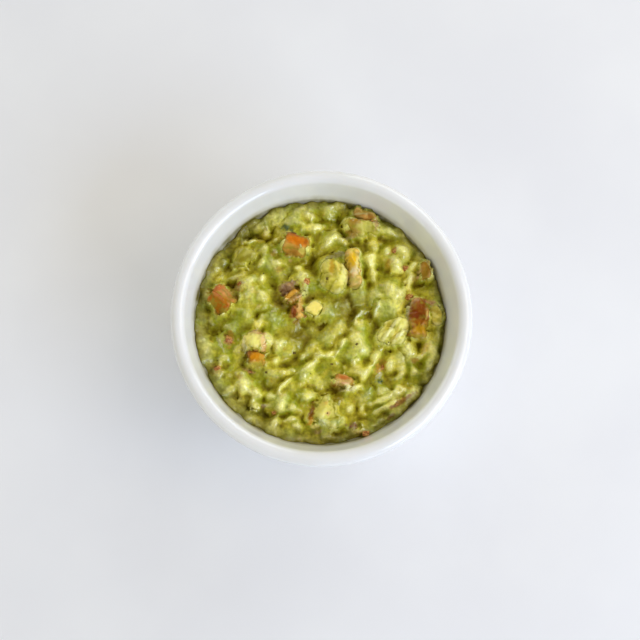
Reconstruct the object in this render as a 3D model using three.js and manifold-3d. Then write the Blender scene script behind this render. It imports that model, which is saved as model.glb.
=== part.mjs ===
// A small round stoneware dip bowl filled with chunky guacamole.
// Millimetres, +Z up, origin at the middle of the foot's underside.

import * as THREE from "three";
import { RoundedBoxGeometry } from "three/addons/geometries/RoundedBoxGeometry.js";
import { mergeVertices } from "three/addons/utils/BufferGeometryUtils.js";
import Module from "manifold-3d";

const wasm = await Module();
wasm.setup();

const gap = 0.3; // clearance between touching pieces
const sides = 48; // facets round the bowl and its filling

const bowl = {
  rimRadius: 47.5,
  height: 42,
  lipRadius: 2.4, // the lip is a full half round
  wallLean: THREE.MathUtils.degToRad(18), // from upright, wider at the top
  floorHeight: 6, // inside floor above the table
  floorRadius: 14, // flat middle of the inside floor
  footRadius: 27,
  footWidth: 4,
  footHeight: 3,
  recessDepth: 1.4, // hollow under the foot
};

const mound = {
  edgeDepth: 9.4, // top of the guacamole at the wall, below the rim
  domeRise: 2.1, // middle above the edge, before the lumps
  edgeWave: 0.45, // slow rise and fall round the wall
  lumpCount: 170,
  lumpRadius: [2.6, 5.0],
  lumpHeight: [0.8, 2.0],
  lumpShift: 3.2, // how far a lump may stray from an even spread
  meshStep: 2.3, // spacing of the points on the uneven top
};

// Each piece: place on the mound, rise of its centre above the mound, size, and its turn in degrees:
// tilts about its own length and width, then its bearing on the mound.
const tomatoDice = [
  { name: "tomato_dice_1", at: [-8.2, 24.3], rise: 0.1, size: [7.4, 5.4, 4.6], turn: [-32, 6, -14] },
  { name: "tomato_dice_2", at: [-31.9, 6.6], rise: -0.2, size: [7.6, 6.4, 5.4], turn: [-34, 8, -42] },
  { name: "tomato_dice_3", at: [31.0, -0.2], rise: 0.2, size: [4.8, 11.2, 4.4], turn: [-4, 8, -6] },
  { name: "tomato_dice_4", at: [-20.8, -12.8], rise: -0.1, size: [5.2, 3.4, 4.2], turn: [-10, 4, -10] },
  { name: "tomato_dice_5", at: [7.0, -19.8], rise: 0.0, size: [5.2, 3.2, 3.6], turn: [6, 0, -22] },
  { name: "tomato_dice_6", at: [14.2, 34.6], rise: -0.1, size: [6.8, 2.4, 3.4], turn: [-8, 4, -18] },
  { name: "tomato_dice_7", at: [10.3, 16.4], rise: 0.2, size: [2.8, 11.4, 4.0], turn: [0, 14, 4] },
  { name: "tomato_dice_8", at: [33.4, 15.8], rise: -0.3, size: [2.8, 5.2, 3.4], turn: [0, 0, 12] },
];

const avocadoLumps = [
  { name: "avocado_lump_1", at: [4.2, 13.9], rise: 0.2, size: [7.6, 10.6, 5.6], turn: [0, 0, 10] },
  { name: "avocado_lump_2", at: [23.2, -4.4], rise: 0.3, size: [10.4, 7.0, 5.0], turn: [0, 0, 38] },
  { name: "avocado_lump_3", at: [-21.5, -7.5], rise: 0.3, size: [6.6, 5.8, 4.8], turn: [0, 0, 10] },
  { name: "avocado_lump_4", at: [-2.3, 2.8], rise: 0.6, size: [4.4, 4.2, 3.6], turn: [0, 0, 0] },
  { name: "avocado_lump_5", at: [0.9, -30.4], rise: 0.2, size: [9.4, 9.0, 5.4], turn: [0, 0, -30] },
  { name: "avocado_lump_6", at: [36.3, 1.4], rise: -0.3, size: [3.8, 5.8, 3.8], turn: [0, 0, 4] },
  { name: "avocado_lump_7", at: [13.4, 30.2], rise: 0.0, size: [10.0, 5.2, 4.6], turn: [0, 0, -16] },
  { name: "avocado_lump_8", at: [-25.0, 19.8], rise: 0.1, size: [9.4, 3.8, 4.2], turn: [0, 0, 42] },
];

const tomatoSkins = [
  { name: "tomato_skin_1", at: [-9.6, 8.4], rise: 0.4, radius: 3.0, length: 4.8, sweep: 150, turn: [0, 8, 34] },
  { name: "tomato_skin_2", at: [-7.4, 2.4], rise: 0.3, radius: 1.9, length: 3.4, sweep: 190, turn: [0, -10, -78] },
];

const skinThickness = 0.7;
const cutEdge = 0.7; // softened edge of a cut cube
const hollowEase = 1.1; // extra width of a coarse hollow

const colours = {
  glaze: 0xf3f3f1,
  guacamole: 0xaca54b,
  tomato: 0xc8591e,
  avocado: 0xc9bd5e,
  skin: 0x9b4a22,
};

// Repeatable random numbers between 0 and 1.
function makeRandom(seed) {
  let state = seed;
  return () => {
    state = (state + 0x6d2b79f5) | 0;
    let t = Math.imul(state ^ (state >>> 15), 1 | state);
    t = (t + Math.imul(t ^ (t >>> 7), 61 | t)) ^ t;
    return ((t ^ (t >>> 14)) >>> 0) / 4294967296;
  };
}

function between([low, high], random) {
  return low + (high - low) * random();
}

// Position-only copy of a geometry with its shared vertices merged.
function weld(geometry) {
  const bare = geometry.clone();
  bare.deleteAttribute("normal");
  bare.deleteAttribute("uv");
  return mergeVertices(bare, 1e-4);
}

function toSolid(geometry) {
  const welded = weld(geometry);
  return new wasm.Manifold(
    new wasm.Mesh({
      numProp: 3,
      vertProperties: new Float32Array(welded.attributes.position.array),
      triVerts: new Uint32Array(welded.index.array),
    }),
  );
}

function toGeometry(solid) {
  const mesh = solid.getMesh();
  const geometry = new THREE.BufferGeometry();
  geometry.setAttribute("position", new THREE.BufferAttribute(mesh.vertProperties, 3));
  geometry.setIndex(new THREE.BufferAttribute(mesh.triVerts, 1));
  geometry.computeVertexNormals();
  return geometry;
}

// A profile of radius and height, running from the axis round to the axis, turned about +Z.
function turned(profile) {
  return new THREE.LatheGeometry(profile, sides).rotateX(Math.PI / 2);
}

function makeMesh(name, geometry, colour, roughness) {
  const material = new THREE.MeshStandardMaterial({ color: colour, roughness, metalness: 0 });
  const mesh = new THREE.Mesh(geometry, material);
  mesh.name = name;
  return mesh;
}

const lipCentre = new THREE.Vector2(bowl.rimRadius - bowl.lipRadius, bowl.height - bowl.lipRadius);

// Unit vector up along the leaning wall, and the one square to it that points outwards.
const wallUp = new THREE.Vector2(Math.sin(bowl.wallLean), Math.cos(bowl.wallLean));
const wallOut = new THREE.Vector2(wallUp.y, -wallUp.x);

// The inside of the bowl, from the lip down to the flat floor.
function insidePoints() {
  const top = lipCentre.clone().addScaledVector(wallOut, -bowl.lipRadius);
  const below = top.clone().addScaledVector(wallUp, -24);
  const turn = new THREE.Vector2(bowl.floorRadius + 11, bowl.floorHeight);
  const floor = new THREE.Vector2(bowl.floorRadius, bowl.floorHeight);
  return new THREE.CubicBezierCurve(top, below, turn, floor).getPoints(7);
}

// The outside of the bowl, from the top of the foot up to the lip.
function outsidePoints() {
  const foot = new THREE.Vector2(bowl.footRadius, bowl.footHeight);
  const turn = new THREE.Vector2(bowl.footRadius + 9, bowl.footHeight + 1);
  const top = lipCentre.clone().addScaledVector(wallOut, bowl.lipRadius);
  const below = top.clone().addScaledVector(wallUp, -20);
  return new THREE.CubicBezierCurve(foot, turn, below, top).getPoints(7);
}

// The rounded top edge, from the outside over to the inside.
function lipArc(steps) {
  const points = [];
  for (let i = 1; i < steps; i += 1) {
    const angle = -bowl.wallLean + (Math.PI * i) / steps;
    const spoke = new THREE.Vector2(Math.cos(angle), Math.sin(angle));
    points.push(lipCentre.clone().addScaledVector(spoke, bowl.lipRadius));
  }
  return points;
}

function footProfile() {
  const inner = bowl.footRadius - bowl.footWidth;
  const ease = 0.8; // softened edges of the foot ring
  return [
    new THREE.Vector2(0, bowl.recessDepth),
    new THREE.Vector2(inner - ease, bowl.recessDepth),
    new THREE.Vector2(inner, 0),
    new THREE.Vector2(bowl.footRadius - ease, 0),
    new THREE.Vector2(bowl.footRadius, ease),
  ];
}

const insideProfile = insidePoints();

function bowlGeometry() {
  const profile = [
    ...footProfile(),
    ...outsidePoints(),
    ...lipArc(10),
    ...insideProfile,
    new THREE.Vector2(0, bowl.floorHeight),
  ];
  return toGeometry(toSolid(turned(profile)));
}

const edgeHeight = bowl.height - mound.edgeDepth;

// Radius of the bowl's inside at a height.
function insideRadius(height) {
  const next = insideProfile.findIndex((point) => point.y <= height);
  const lower = insideProfile[next];
  const upper = insideProfile[next - 1];
  const share = (height - lower.y) / (upper.y - lower.y);
  return THREE.MathUtils.lerp(lower.x, upper.x, share);
}

const fillRadius = insideRadius(edgeHeight) - gap;

// Smooth dome, without its lumps.
function domeHeight(x, y) {
  const share = Math.min(1, Math.hypot(x, y) / fillRadius);
  const angle = Math.atan2(y, x);
  const wave = Math.sin(2 * angle + 0.6) + 0.6 * Math.sin(5 * angle - 1.1);
  return edgeHeight + mound.domeRise * (1 - share ** 2.4) + mound.edgeWave * wave * share;
}

// Lumps spread evenly over the mound by the golden angle, then shaken.
function makeLumps() {
  const random = makeRandom(41);
  const golden = Math.PI * (3 - Math.sqrt(5));
  const lumps = [];
  for (let i = 0; i < mound.lumpCount; i += 1) {
    const reach = fillRadius * Math.sqrt((i + 0.5) / mound.lumpCount);
    const angle = i * golden;
    const radius = between(mound.lumpRadius, random);
    lumps.push({
      x: reach * Math.cos(angle) + mound.lumpShift * (random() - 0.5),
      y: reach * Math.sin(angle) + mound.lumpShift * (random() - 0.5),
      radius,
      height: between(mound.lumpHeight, random),
      stretch: between([0.65, 1], random),
      turn: Math.PI * random(),
    });
  }
  return lumps;
}

const lumps = makeLumps();

// The lumps meet in creases, so the highest one at a point counts.
function lumpRise(x, y) {
  let rise = 0;
  for (const lump of lumps) {
    const dx = x - lump.x;
    const dy = y - lump.y;
    const along = dx * Math.cos(lump.turn) + dy * Math.sin(lump.turn);
    const across = (dy * Math.cos(lump.turn) - dx * Math.sin(lump.turn)) / lump.stretch;
    const fall = 1 - (along * along + across * across) / lump.radius ** 2;
    if (fall > 0) rise = Math.max(rise, lump.height * Math.sqrt(fall));
  }
  return rise;
}

// The room inside the bowl, clear of its wall by the gap, up to the rim.
function roomGeometry() {
  const clear = new THREE.Vector2(-gap, gap);
  const wall = insideProfile.map((point) => point.clone().add(clear)).reverse();
  const floor = new THREE.Vector2(0, wall[0].y);
  const top = new THREE.Vector2(0, wall[wall.length - 1].y);
  return turned([floor, ...wall, top]);
}

// A square slab from under the bowl's floor up to the lumpy mound.
function slabGeometry() {
  const steps = 2 * Math.ceil((fillRadius + 1) / mound.meshStep);
  const side = steps * mound.meshStep;
  const slab = new THREE.BoxGeometry(side, side, bowl.height, steps, steps, 1);
  const position = slab.attributes.position;
  for (let i = 0; i < position.count; i += 1) {
    const x = position.getX(i);
    const y = position.getY(i);
    const onTop = position.getZ(i) > 0;
    position.setZ(i, onTop ? domeHeight(x, y) + lumpRise(x, y) : 0);
  }
  return slab;
}

function guacamoleGeometry(cavities) {
  let solid = toSolid(roomGeometry()).intersect(toSolid(slabGeometry()));
  for (const cavity of cavities) solid = solid.subtract(toSolid(cavity));
  return toGeometry(solid);
}

// A hand-cut cube: a soft-edged box whose corners are each pushed a little out of square.
function diceGeometry(piece, grow) {
  const [width, depth, height] = piece.size.map((side) => side + 2 * grow);
  const geometry =
    grow > 0
      ? new THREE.BoxGeometry(width, depth, height)
      : new RoundedBoxGeometry(width, depth, height, 1, cutEdge);
  const random = makeRandom(piece.name.charCodeAt(piece.name.length - 1) * 97);
  const skew = [random(), random(), random(), random()].map((value) => 0.3 * (value - 0.5));
  const position = geometry.attributes.position;
  for (let i = 0; i < position.count; i += 1) {
    const u = position.getX(i) / width;
    const v = position.getY(i) / depth;
    const w = position.getZ(i) / height;
    const x = position.getX(i) * (1 + skew[0] * v - skew[1] * w);
    const y = position.getY(i) * (1 + skew[2] * u + skew[1] * w);
    const z = position.getZ(i) * (1 + skew[3] * u - skew[0] * v);
    position.setXYZ(i, x, y, z);
  }
  return geometry;
}

// A soft rounded lump with shallow dents. Its hollow is coarser, so it is also a little roomier.
function lumpGeometry(piece, grow) {
  const detail = grow > 0 ? 1 : 2;
  const room = grow > 0 ? 2 * grow + hollowEase : 0;
  const geometry = weld(new THREE.IcosahedronGeometry(0.5, detail));
  const phase = piece.name.charCodeAt(piece.name.length - 1);
  const position = geometry.attributes.position;
  for (let i = 0; i < position.count; i += 1) {
    const point = new THREE.Vector3().fromBufferAttribute(position, i).multiplyScalar(2);
    const dent = Math.sin(5 * point.x + phase) * Math.sin(4 * point.y - phase) + Math.sin(6 * point.z);
    point.multiplyScalar(0.5 * (1 + 0.09 * dent));
    const [x, y, z] = point.toArray().map((value, axis) => value * (piece.size[axis] + room));
    position.setXYZ(i, x, y, z);
  }
  return geometry;
}

// A strip of peeled skin, curled up like a wood shaving.
function skinGeometry(piece, grow) {
  const sweep = THREE.MathUtils.degToRad(piece.sweep) / 2 + grow / piece.radius;
  const outer = piece.radius + grow;
  const inner = piece.radius - skinThickness - grow;
  const outline = new THREE.Shape();
  outline.absarc(0, 0, outer, Math.PI / 2 - sweep, Math.PI / 2 + sweep, false);
  outline.absarc(0, 0, inner, Math.PI / 2 + sweep, Math.PI / 2 - sweep, true);
  const length = piece.length + 2 * grow;
  const geometry = new THREE.ExtrudeGeometry(outline, { depth: length, bevelEnabled: false, curveSegments: 5 });
  return geometry.translate(0, -piece.radius / 2, -length / 2).rotateX(Math.PI / 2);
}

function placeOf(piece) {
  const [x, y] = piece.at;
  const turn = piece.turn.map(THREE.MathUtils.degToRad);
  return {
    position: new THREE.Vector3(x, y, domeHeight(x, y) + piece.rise),
    rotation: new THREE.Euler(...turn, "ZYX"),
  };
}

function placedPiece(piece, shape, colour, roughness) {
  const { position, rotation } = placeOf(piece);
  const mesh = makeMesh(piece.name, shape(piece, 0), colour, roughness);
  mesh.position.copy(position);
  mesh.rotation.copy(rotation);
  return mesh;
}

// The hollow that a piece sits in: the same shape, larger all round by the gap.
function cavityOf(piece, shape) {
  const { position, rotation } = placeOf(piece);
  const turn = new THREE.Quaternion().setFromEuler(rotation);
  const place = new THREE.Matrix4().compose(position, turn, new THREE.Vector3(1, 1, 1));
  return shape(piece, gap).applyMatrix4(place);
}

const kinds = [
  { pieces: tomatoDice, shape: diceGeometry, colour: colours.tomato, roughness: 0.25 },
  { pieces: avocadoLumps, shape: lumpGeometry, colour: colours.avocado, roughness: 0.4 },
  { pieces: tomatoSkins, shape: skinGeometry, colour: colours.skin, roughness: 0.3 },
];

function buildPart() {
  const dish = makeMesh("bowl", bowlGeometry(), colours.glaze, 0.15);

  const contents = new THREE.Group();
  const cavities = [];
  for (const { pieces, shape, colour, roughness } of kinds) {
    for (const piece of pieces) {
      contents.add(placedPiece(piece, shape, colour, roughness));
      cavities.push(cavityOf(piece, shape));
    }
  }
  contents.add(makeMesh("guacamole", guacamoleGeometry(cavities), colours.guacamole, 0.35));

  const part = new THREE.Group();
  part.add(dish, contents);
  return part;
}

export default buildPart();
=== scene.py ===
import math
import random

import bpy
from mathutils import Matrix, Vector, noise
from mathutils.bvhtree import BVHTree
from mathutils.kdtree import KDTree


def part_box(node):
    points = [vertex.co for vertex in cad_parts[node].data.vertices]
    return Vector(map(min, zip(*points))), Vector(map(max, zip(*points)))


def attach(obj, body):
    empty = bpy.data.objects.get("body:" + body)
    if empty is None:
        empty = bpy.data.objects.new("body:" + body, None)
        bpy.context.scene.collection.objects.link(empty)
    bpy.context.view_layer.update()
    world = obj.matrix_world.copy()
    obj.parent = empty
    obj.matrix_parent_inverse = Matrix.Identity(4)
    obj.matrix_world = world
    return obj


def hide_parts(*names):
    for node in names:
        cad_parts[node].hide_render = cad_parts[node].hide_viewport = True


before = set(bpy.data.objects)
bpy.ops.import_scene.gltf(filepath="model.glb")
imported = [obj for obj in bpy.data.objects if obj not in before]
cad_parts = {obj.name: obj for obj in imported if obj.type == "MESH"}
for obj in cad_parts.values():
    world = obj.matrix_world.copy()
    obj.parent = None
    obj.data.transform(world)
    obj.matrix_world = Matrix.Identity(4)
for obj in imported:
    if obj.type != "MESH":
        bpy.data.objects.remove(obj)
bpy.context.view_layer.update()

mm = 0.001
noise.seed_set(1)  # noise_vector starts from this seed


# small helpers

def chooseOnly(*things):
    bpy.ops.object.select_all(action="DESELECT")
    for thing in things:
        thing.select_set(True)
    bpy.context.view_layer.objects.active = things[-1]


def nameActive(name):
    thing = bpy.context.active_object
    thing.name = name
    thing.data.name = name
    return thing


def applyPlace():
    bpy.ops.object.transform_apply(location=True, rotation=True, scale=True)


def finishWith(thing, *steps):
    # adds and applies one modifier for each step
    chooseOnly(thing)
    for kind, settings in steps:
        modifier = thing.modifiers.new(kind.lower(), kind)
        for setting, value in settings.items():
            setattr(modifier, setting, value)
        bpy.ops.object.modifier_apply(modifier=modifier.name)


def editAll(*steps):
    # edit-mode operators on the whole of the active object
    bpy.ops.object.mode_set(mode="EDIT")
    bpy.ops.mesh.select_all(action="SELECT")
    for operator, settings in steps:
        operator(**settings)
    bpy.ops.object.mode_set(mode="OBJECT")


def newObject(name, data):
    thing = bpy.data.objects.new(name, data)
    bpy.context.scene.collection.objects.link(thing)
    return thing


def writeAttribute(thing, name, values, kind="FLOAT"):
    # a number for each point, or the four numbers of a colour
    data = thing.data.attributes.new(name, kind, "POINT").data
    data.foreach_set("color" if kind == "FLOAT_COLOR" else "value", values)


def surfaceOf(*things):
    # all their faces, to find the nearest or the topmost point on
    points, faces = [], []
    for thing in things:
        start = len(points)
        points.extend(point.co.copy() for point in thing.data.vertices)
        faces.extend([index + start for index in face.vertices] for face in thing.data.polygons)
    return BVHTree.FromPolygons(points, faces)


def smoothStep(low, high, value):
    share = min(1.0, max(0.0, (value - low) / (high - low)))
    return share * share * (3 - 2 * share)


def bump(x, width):
    # 1 in the middle, falling away to both sides
    return math.exp(-(x / width) ** 2)


def colour(hexText):
    # sRGB hex to linear
    def linear(part):
        return part / 12.92 if part <= 0.04045 else ((part + 0.055) / 1.055) ** 2.4
    parts = [int(hexText[i:i + 2], 16) / 255 for i in (0, 2, 4)]
    return (*map(linear, parts), 1.0)


def addNode(tree, kind, settings=None, inputs=None):
    # an input is a value, a colour in hex, or the socket that it is linked to
    node = tree.nodes.new(kind)
    for name, value in (settings or {}).items():
        setattr(node, name, value)
    for name, value in (inputs or {}).items():
        if isinstance(value, bpy.types.NodeSocket):
            tree.links.new(value, node.inputs[name])
        else:
            node.inputs[name].default_value = colour(value) if isinstance(value, str) else value
    return node


def newMaterial(name):
    material = bpy.data.materials.new(name)
    material.use_nodes = True
    material.node_tree.nodes.clear()
    return material, material.node_tree


def closeMaterial(tree, inputs):
    shader = addNode(tree, "ShaderNodeBsdfPrincipled", None, inputs)
    addNode(tree, "ShaderNodeOutputMaterial", None, {"Surface": shader.outputs["BSDF"]})


def readPattern(tree, source, *ends):
    # a source is the name of an attribute of the piece, or noise on the piece, given by the size of
    # its features in millimetres and its detail, or it is used as it is. Ends are the least and
    # greatest value that count, and what they are turned into (0 and 1 if that isn't said)
    if isinstance(source, str):
        source = addNode(tree, "ShaderNodeAttribute", {"attribute_name": source}).outputs["Fac"]
    elif isinstance(source, tuple):
        size, detail = source
        place = addNode(tree, "ShaderNodeTexCoord").outputs["Object"]
        inputs = {"Scale": 1 / (size * mm), "Detail": detail, "Roughness": 0.5, "Vector": place}
        source = addNode(tree, "ShaderNodeTexNoise", {"noise_dimensions": "3D"}, inputs).outputs["Fac"]
    if not ends:
        return source
    names = ("From Min", "From Max", "To Min", "To Max")
    inputs = dict(zip(names, (*ends, 0.0, 1.0)))
    node = addNode(tree, "ShaderNodeMapRange", {"interpolation_type": "SMOOTHSTEP"},
                   {**inputs, "Value": source})
    return node.outputs["Result"]


def layOver(tree, base, tint, *pattern, mode="MIX"):
    # lays a colour over the base as strongly as the pattern says
    return addNode(tree, "ShaderNodeMix", {"data_type": "RGBA", "blend_type": mode},
                   {0: readPattern(tree, *pattern), 6: base, 7: tint}).outputs[2]


def relief(tree, strength, distance, *pattern):
    # fine roughness that only the light shows; distance in millimetres
    inputs = {"Strength": strength, "Distance": distance * mm, "Height": readPattern(tree, *pattern)}
    return addNode(tree, "ShaderNodeBump", None, inputs).outputs["Normal"]


# camera: looks almost straight down, leaning back a little from the near side
shot = {
    "lean": 11.5,  # degrees from straight down
    "distance": 360,
    "aim": (-0.46, -1.53, 39.29),
    "lens": 64.35,
}


def makeCamera():
    lean = math.radians(shot["lean"])
    aim = Vector(shot["aim"]) * mm
    back = Vector((0, -math.sin(lean), math.cos(lean)))
    data = bpy.data.cameras.new("camera")
    data.lens = shot["lens"]
    data.clip_start = 0.01
    camera = newObject("camera", data)
    camera.location = aim + back * shot["distance"] * mm
    camera.rotation_euler = (lean, 0, 0)
    bpy.context.scene.camera = camera


# light: a pale room with soft lamps round the bowl, strongest on the right
lights = {
    "room": 0.46,
    "roomTint": "FFF8EC",
    # each lamp: azimuth and height in degrees, distance in m, size in m, power in W, tint
    "lamps": (
        ("window", -35, 30, 1.1, (0.9, 0.5), 7.4, "C8DCFF"),
        ("highRight", 0, 50, 1.3, (0.9, 0.7), 3.4, "FFF4E2"),
        ("farRight", 60, 28, 1.3, (0.9, 0.7), 3.9, "F4FBFF"),
        ("farLeft", 135, 22, 1.3, (0.9, 0.7), 2.8, "DDF0FF"),
        ("nearLeft", 225, 22, 1.3, (0.9, 0.7), 1.7, "F0FFF4"),
    ),
    "floorSize": 6,
}


def toward(azimuth, height):
    a, h = math.radians(azimuth), math.radians(height)
    return Vector((math.cos(a) * math.cos(h), math.sin(a) * math.cos(h), math.sin(h)))


def makeLight(name, azimuth, height, distance, size, power, tint):
    data = bpy.data.lights.new(name, "AREA")
    data.shape = "RECTANGLE"
    data.size, data.size_y = size
    data.energy = power
    data.color = colour(tint)[:3]
    lamp = newObject(name, data)
    lamp.location = toward(azimuth, height) * distance
    lamp.rotation_euler = toward(azimuth, height).to_track_quat("Z", "Y").to_euler()


def makeRoom():
    world = bpy.data.worlds.new("room")
    bpy.context.scene.world = world
    world.use_nodes = True
    tree = world.node_tree
    tree.nodes.clear()
    glow = addNode(tree, "ShaderNodeBackground", None,
                   {"Color": lights["roomTint"], "Strength": lights["room"]})
    addNode(tree, "ShaderNodeOutputWorld", None, {"Surface": glow.outputs["Background"]})
    for lamp in lights["lamps"]:
        makeLight(*lamp)
    bpy.ops.mesh.primitive_grid_add(x_subdivisions=8, y_subdivisions=8, size=lights["floorSize"],
                                    location=(0, 0, 0))
    floor = nameActive("floor")
    floor.data.materials.append(satinLaminate())
    bpy.context.scene.view_settings.view_transform = "Standard"


def satinLaminate():
    # satin white laminate: a pale top with a faint cloudiness and soft reflections
    material, tree = newMaterial("satinLaminate")
    base = layOver(tree, "EFEFF1", "F3F3F4", (60, 3), 0.35, 0.7)
    closeMaterial(tree, {"Base Color": base, "Roughness": 0.5})
    return material


# bowl: slip-cast stoneware under a clear gloss glaze, with a bare foot; sizes in millimetres
dish = {
    "lipRadius": 2.4,
    "wallLean": 18,  # degrees
    "floorHeight": 6,
    "floorRadius": 14,
    "footRadius": 27,
    "footWidth": 4,
    "footHeight": 3,
    "footEase": 0.8,
    "recess": 1.4,
    "bareHeight": 0.35,  # below this the foot has no glaze
    "steps": 160,  # round the bowl
    "curveSteps": (60, 18, 22),  # along its inside, lip and outside
    # how far the curves' ends pull: inside from the lip and the floor, outside from the lip and foot
    "insidePull": (24, 11),
    "outsidePull": (20, (9, 1)),
    # oily film where the mash has touched the wall, partly a real smear and partly painted shade where
    # the mash shades the wall: its colour, then the heights above the mash between which it fades, and
    # its strength
    "film": (("A89C62", 0.0, 2.6, 0.6), ("6A6214", -0.6, 0.5, 1.0)),
    "filmUneven": ((5, 2), 0.3, 0.7, 0.5, 1.0),
    "glossFrom": (-0.6, 0.8),  # heights above the mash from which the glaze shines
    "noMash": 99,
}
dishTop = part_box("bowl")[1].z / mm
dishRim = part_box("bowl")[1].x / mm
lipCentre = Vector((dishRim - dish["lipRadius"], dishTop - dish["lipRadius"]))
wallUp = Vector((math.sin(math.radians(dish["wallLean"])), math.cos(math.radians(dish["wallLean"]))))
wallOut = Vector((wallUp.y, -wallUp.x))


def cubic(points, steps):
    a, b, c, d = points
    row = []
    for i in range(steps + 1):
        t = i / steps
        u = 1 - t
        row.append(a * u ** 3 + b * 3 * u * u * t + c * 3 * u * t * t + d * t ** 3)
    return row


def insideCurve(steps):
    top = lipCentre - wallOut * dish["lipRadius"]
    floor = Vector((dish["floorRadius"], dish["floorHeight"]))
    down, out = dish["insidePull"]
    return cubic((top, top - wallUp * down, floor + Vector((out, 0)), floor), steps)


def outsideCurve(steps):
    foot = Vector((dish["footRadius"], dish["footHeight"]))
    top = lipCentre + wallOut * dish["lipRadius"]
    down, out = dish["outsidePull"]
    return cubic((foot, foot + Vector(out), top - wallUp * down, top), steps)


def lipArc(steps):
    lean = math.radians(dish["wallLean"])
    turns = [-lean + math.pi * i / steps for i in range(1, steps)]
    return [lipCentre + Vector((math.cos(t), math.sin(t))) * dish["lipRadius"] for t in turns]


def footCurve():
    outer, ease, recess = dish["footRadius"], dish["footEase"], dish["recess"]
    inner = outer - dish["footWidth"]
    corner = [Vector((outer - ease + ease * math.sin(t), ease - ease * math.cos(t)))
              for t in (0, math.pi / 6, math.pi / 3, math.pi / 2)]
    return [Vector((0, recess)), Vector((inner * 0.5, recess)), Vector((inner - 2 * ease, recess)),
            Vector((inner - ease, recess * 0.8)), Vector((inner, 0)), *corner,
            Vector((outer, dish["footHeight"] * 0.6))]


insideSteps, lipSteps, outsideSteps = dish["curveSteps"]
insideRow = insideCurve(insideSteps)


def insideRadius(height):
    # radius of the bowl's inside at a height, both in mm
    for upper, lower in zip(insideRow, insideRow[1:]):
        if lower.y <= height:
            share = (height - lower.y) / (upper.y - lower.y)
            return lower.x + (upper.x - lower.x) * min(1.0, share)
    return dish["floorRadius"]


def spinProfile(name, points, steps):
    # one point drawn out along the profile, then spun about the upright axis
    start = points[0]
    bpy.ops.object.select_all(action="DESELECT")
    bpy.ops.mesh.primitive_plane_add(size=mm, location=(start.x * mm, 0, start.y * mm))
    thing = nameActive(name)
    bpy.ops.object.mode_set(mode="EDIT")
    bpy.ops.mesh.merge(type="CENTER")
    for here, there in zip(points, points[1:]):
        step = (there - here) * mm
        bpy.ops.mesh.extrude_region_move(TRANSFORM_OT_translate={"value": (step.x, 0, step.y)})
    bpy.ops.mesh.select_all(action="SELECT")
    bpy.ops.mesh.spin(steps=steps, angle=math.tau, center=(0, 0, 0), axis=(0, 0, 1))
    bpy.ops.object.mode_set(mode="OBJECT")
    editAll((bpy.ops.mesh.remove_doubles, {"threshold": 0.002 * mm}),
            (bpy.ops.mesh.normals_make_consistent, {"inside": False}))
    chooseOnly(thing)
    applyPlace()
    return thing


def makeBowl():
    floorHeight = dish["floorHeight"]
    profile = [*footCurve(), *outsideCurve(outsideSteps), *lipArc(lipSteps), *insideRow[::2],
               Vector((dish["floorRadius"] / 2, floorHeight)), Vector((0, floorHeight))]
    bowl = spinProfile("glazedBowl", profile, dish["steps"])
    bpy.ops.object.shade_smooth()
    aboveMash = []
    for point in bowl.data.vertices:
        x, y, z = point.co / mm
        inside = z > floorHeight - 1 and math.hypot(x, y) < insideRadius(z) + 0.8
        aboveMash.append(z - edgeLevel - wallSmear(x, y) if inside else dish["noMash"])
    writeAttribute(bowl, "aboveMash", aboveMash)
    bowl.data.materials.append(clearGlazeOnStoneware())
    bowl.data.materials.append(bareStoneware())
    for face in bowl.data.polygons:
        if face.center.z < dish["bareHeight"] * mm:
            face.material_index = 1
    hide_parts("bowl")
    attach(bowl, "root")
    return bowl


def clearGlazeOnStoneware():
    # clear gloss glaze over white stoneware, fired: hard bright reflections on a soft white body,
    # whose surface swims a little where the glaze has run
    material, tree = newMaterial("clearGlazeOnStoneware")
    base = layOver(tree, "EFEFEC", "F4F4F3", (14, 2), 0.3, 0.7)
    uneven = readPattern(tree, *dish["filmUneven"])
    # the film: part real smear of mash, part painted shade on the wall just above the mash
    for tint, low, high, strength in dish["film"]:
        film = readPattern(tree, "aboveMash", low, high, strength, 0.0)
        film = addNode(tree, "ShaderNodeMath", {"operation": "MULTIPLY"}, {0: film, 1: uneven})
        base = layOver(tree, base, tint, film.outputs["Value"])
    run = relief(tree, 0.12, 0.25, (9, 1))
    closeMaterial(tree, {
        "Base Color": base, "Roughness": 0.3, "IOR": 1.5, "Normal": run,
        "Coat Weight": readPattern(tree, "aboveMash", *dish["glossFrom"]), "Coat Roughness": 0.05,
        "Coat IOR": 1.52, "Coat Normal": run,
        "Subsurface Weight": 0.15, "Subsurface Scale": 1.5 * mm, "Subsurface Radius": (1.0, 0.9, 0.8)})
    return material


def bareStoneware():
    # unglazed fired clay, wiped clean before firing: dry, fine-grained and slightly warm
    material, tree = newMaterial("bareStoneware")
    base = layOver(tree, "DDD8CE", "EAE6DE", (0.5, 3), 0.4, 0.65)
    closeMaterial(tree, {"Base Color": base, "Roughness": 0.85,
                         "Normal": relief(tree, 0.4, 0.1, (0.5, 3))})
    return material


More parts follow.
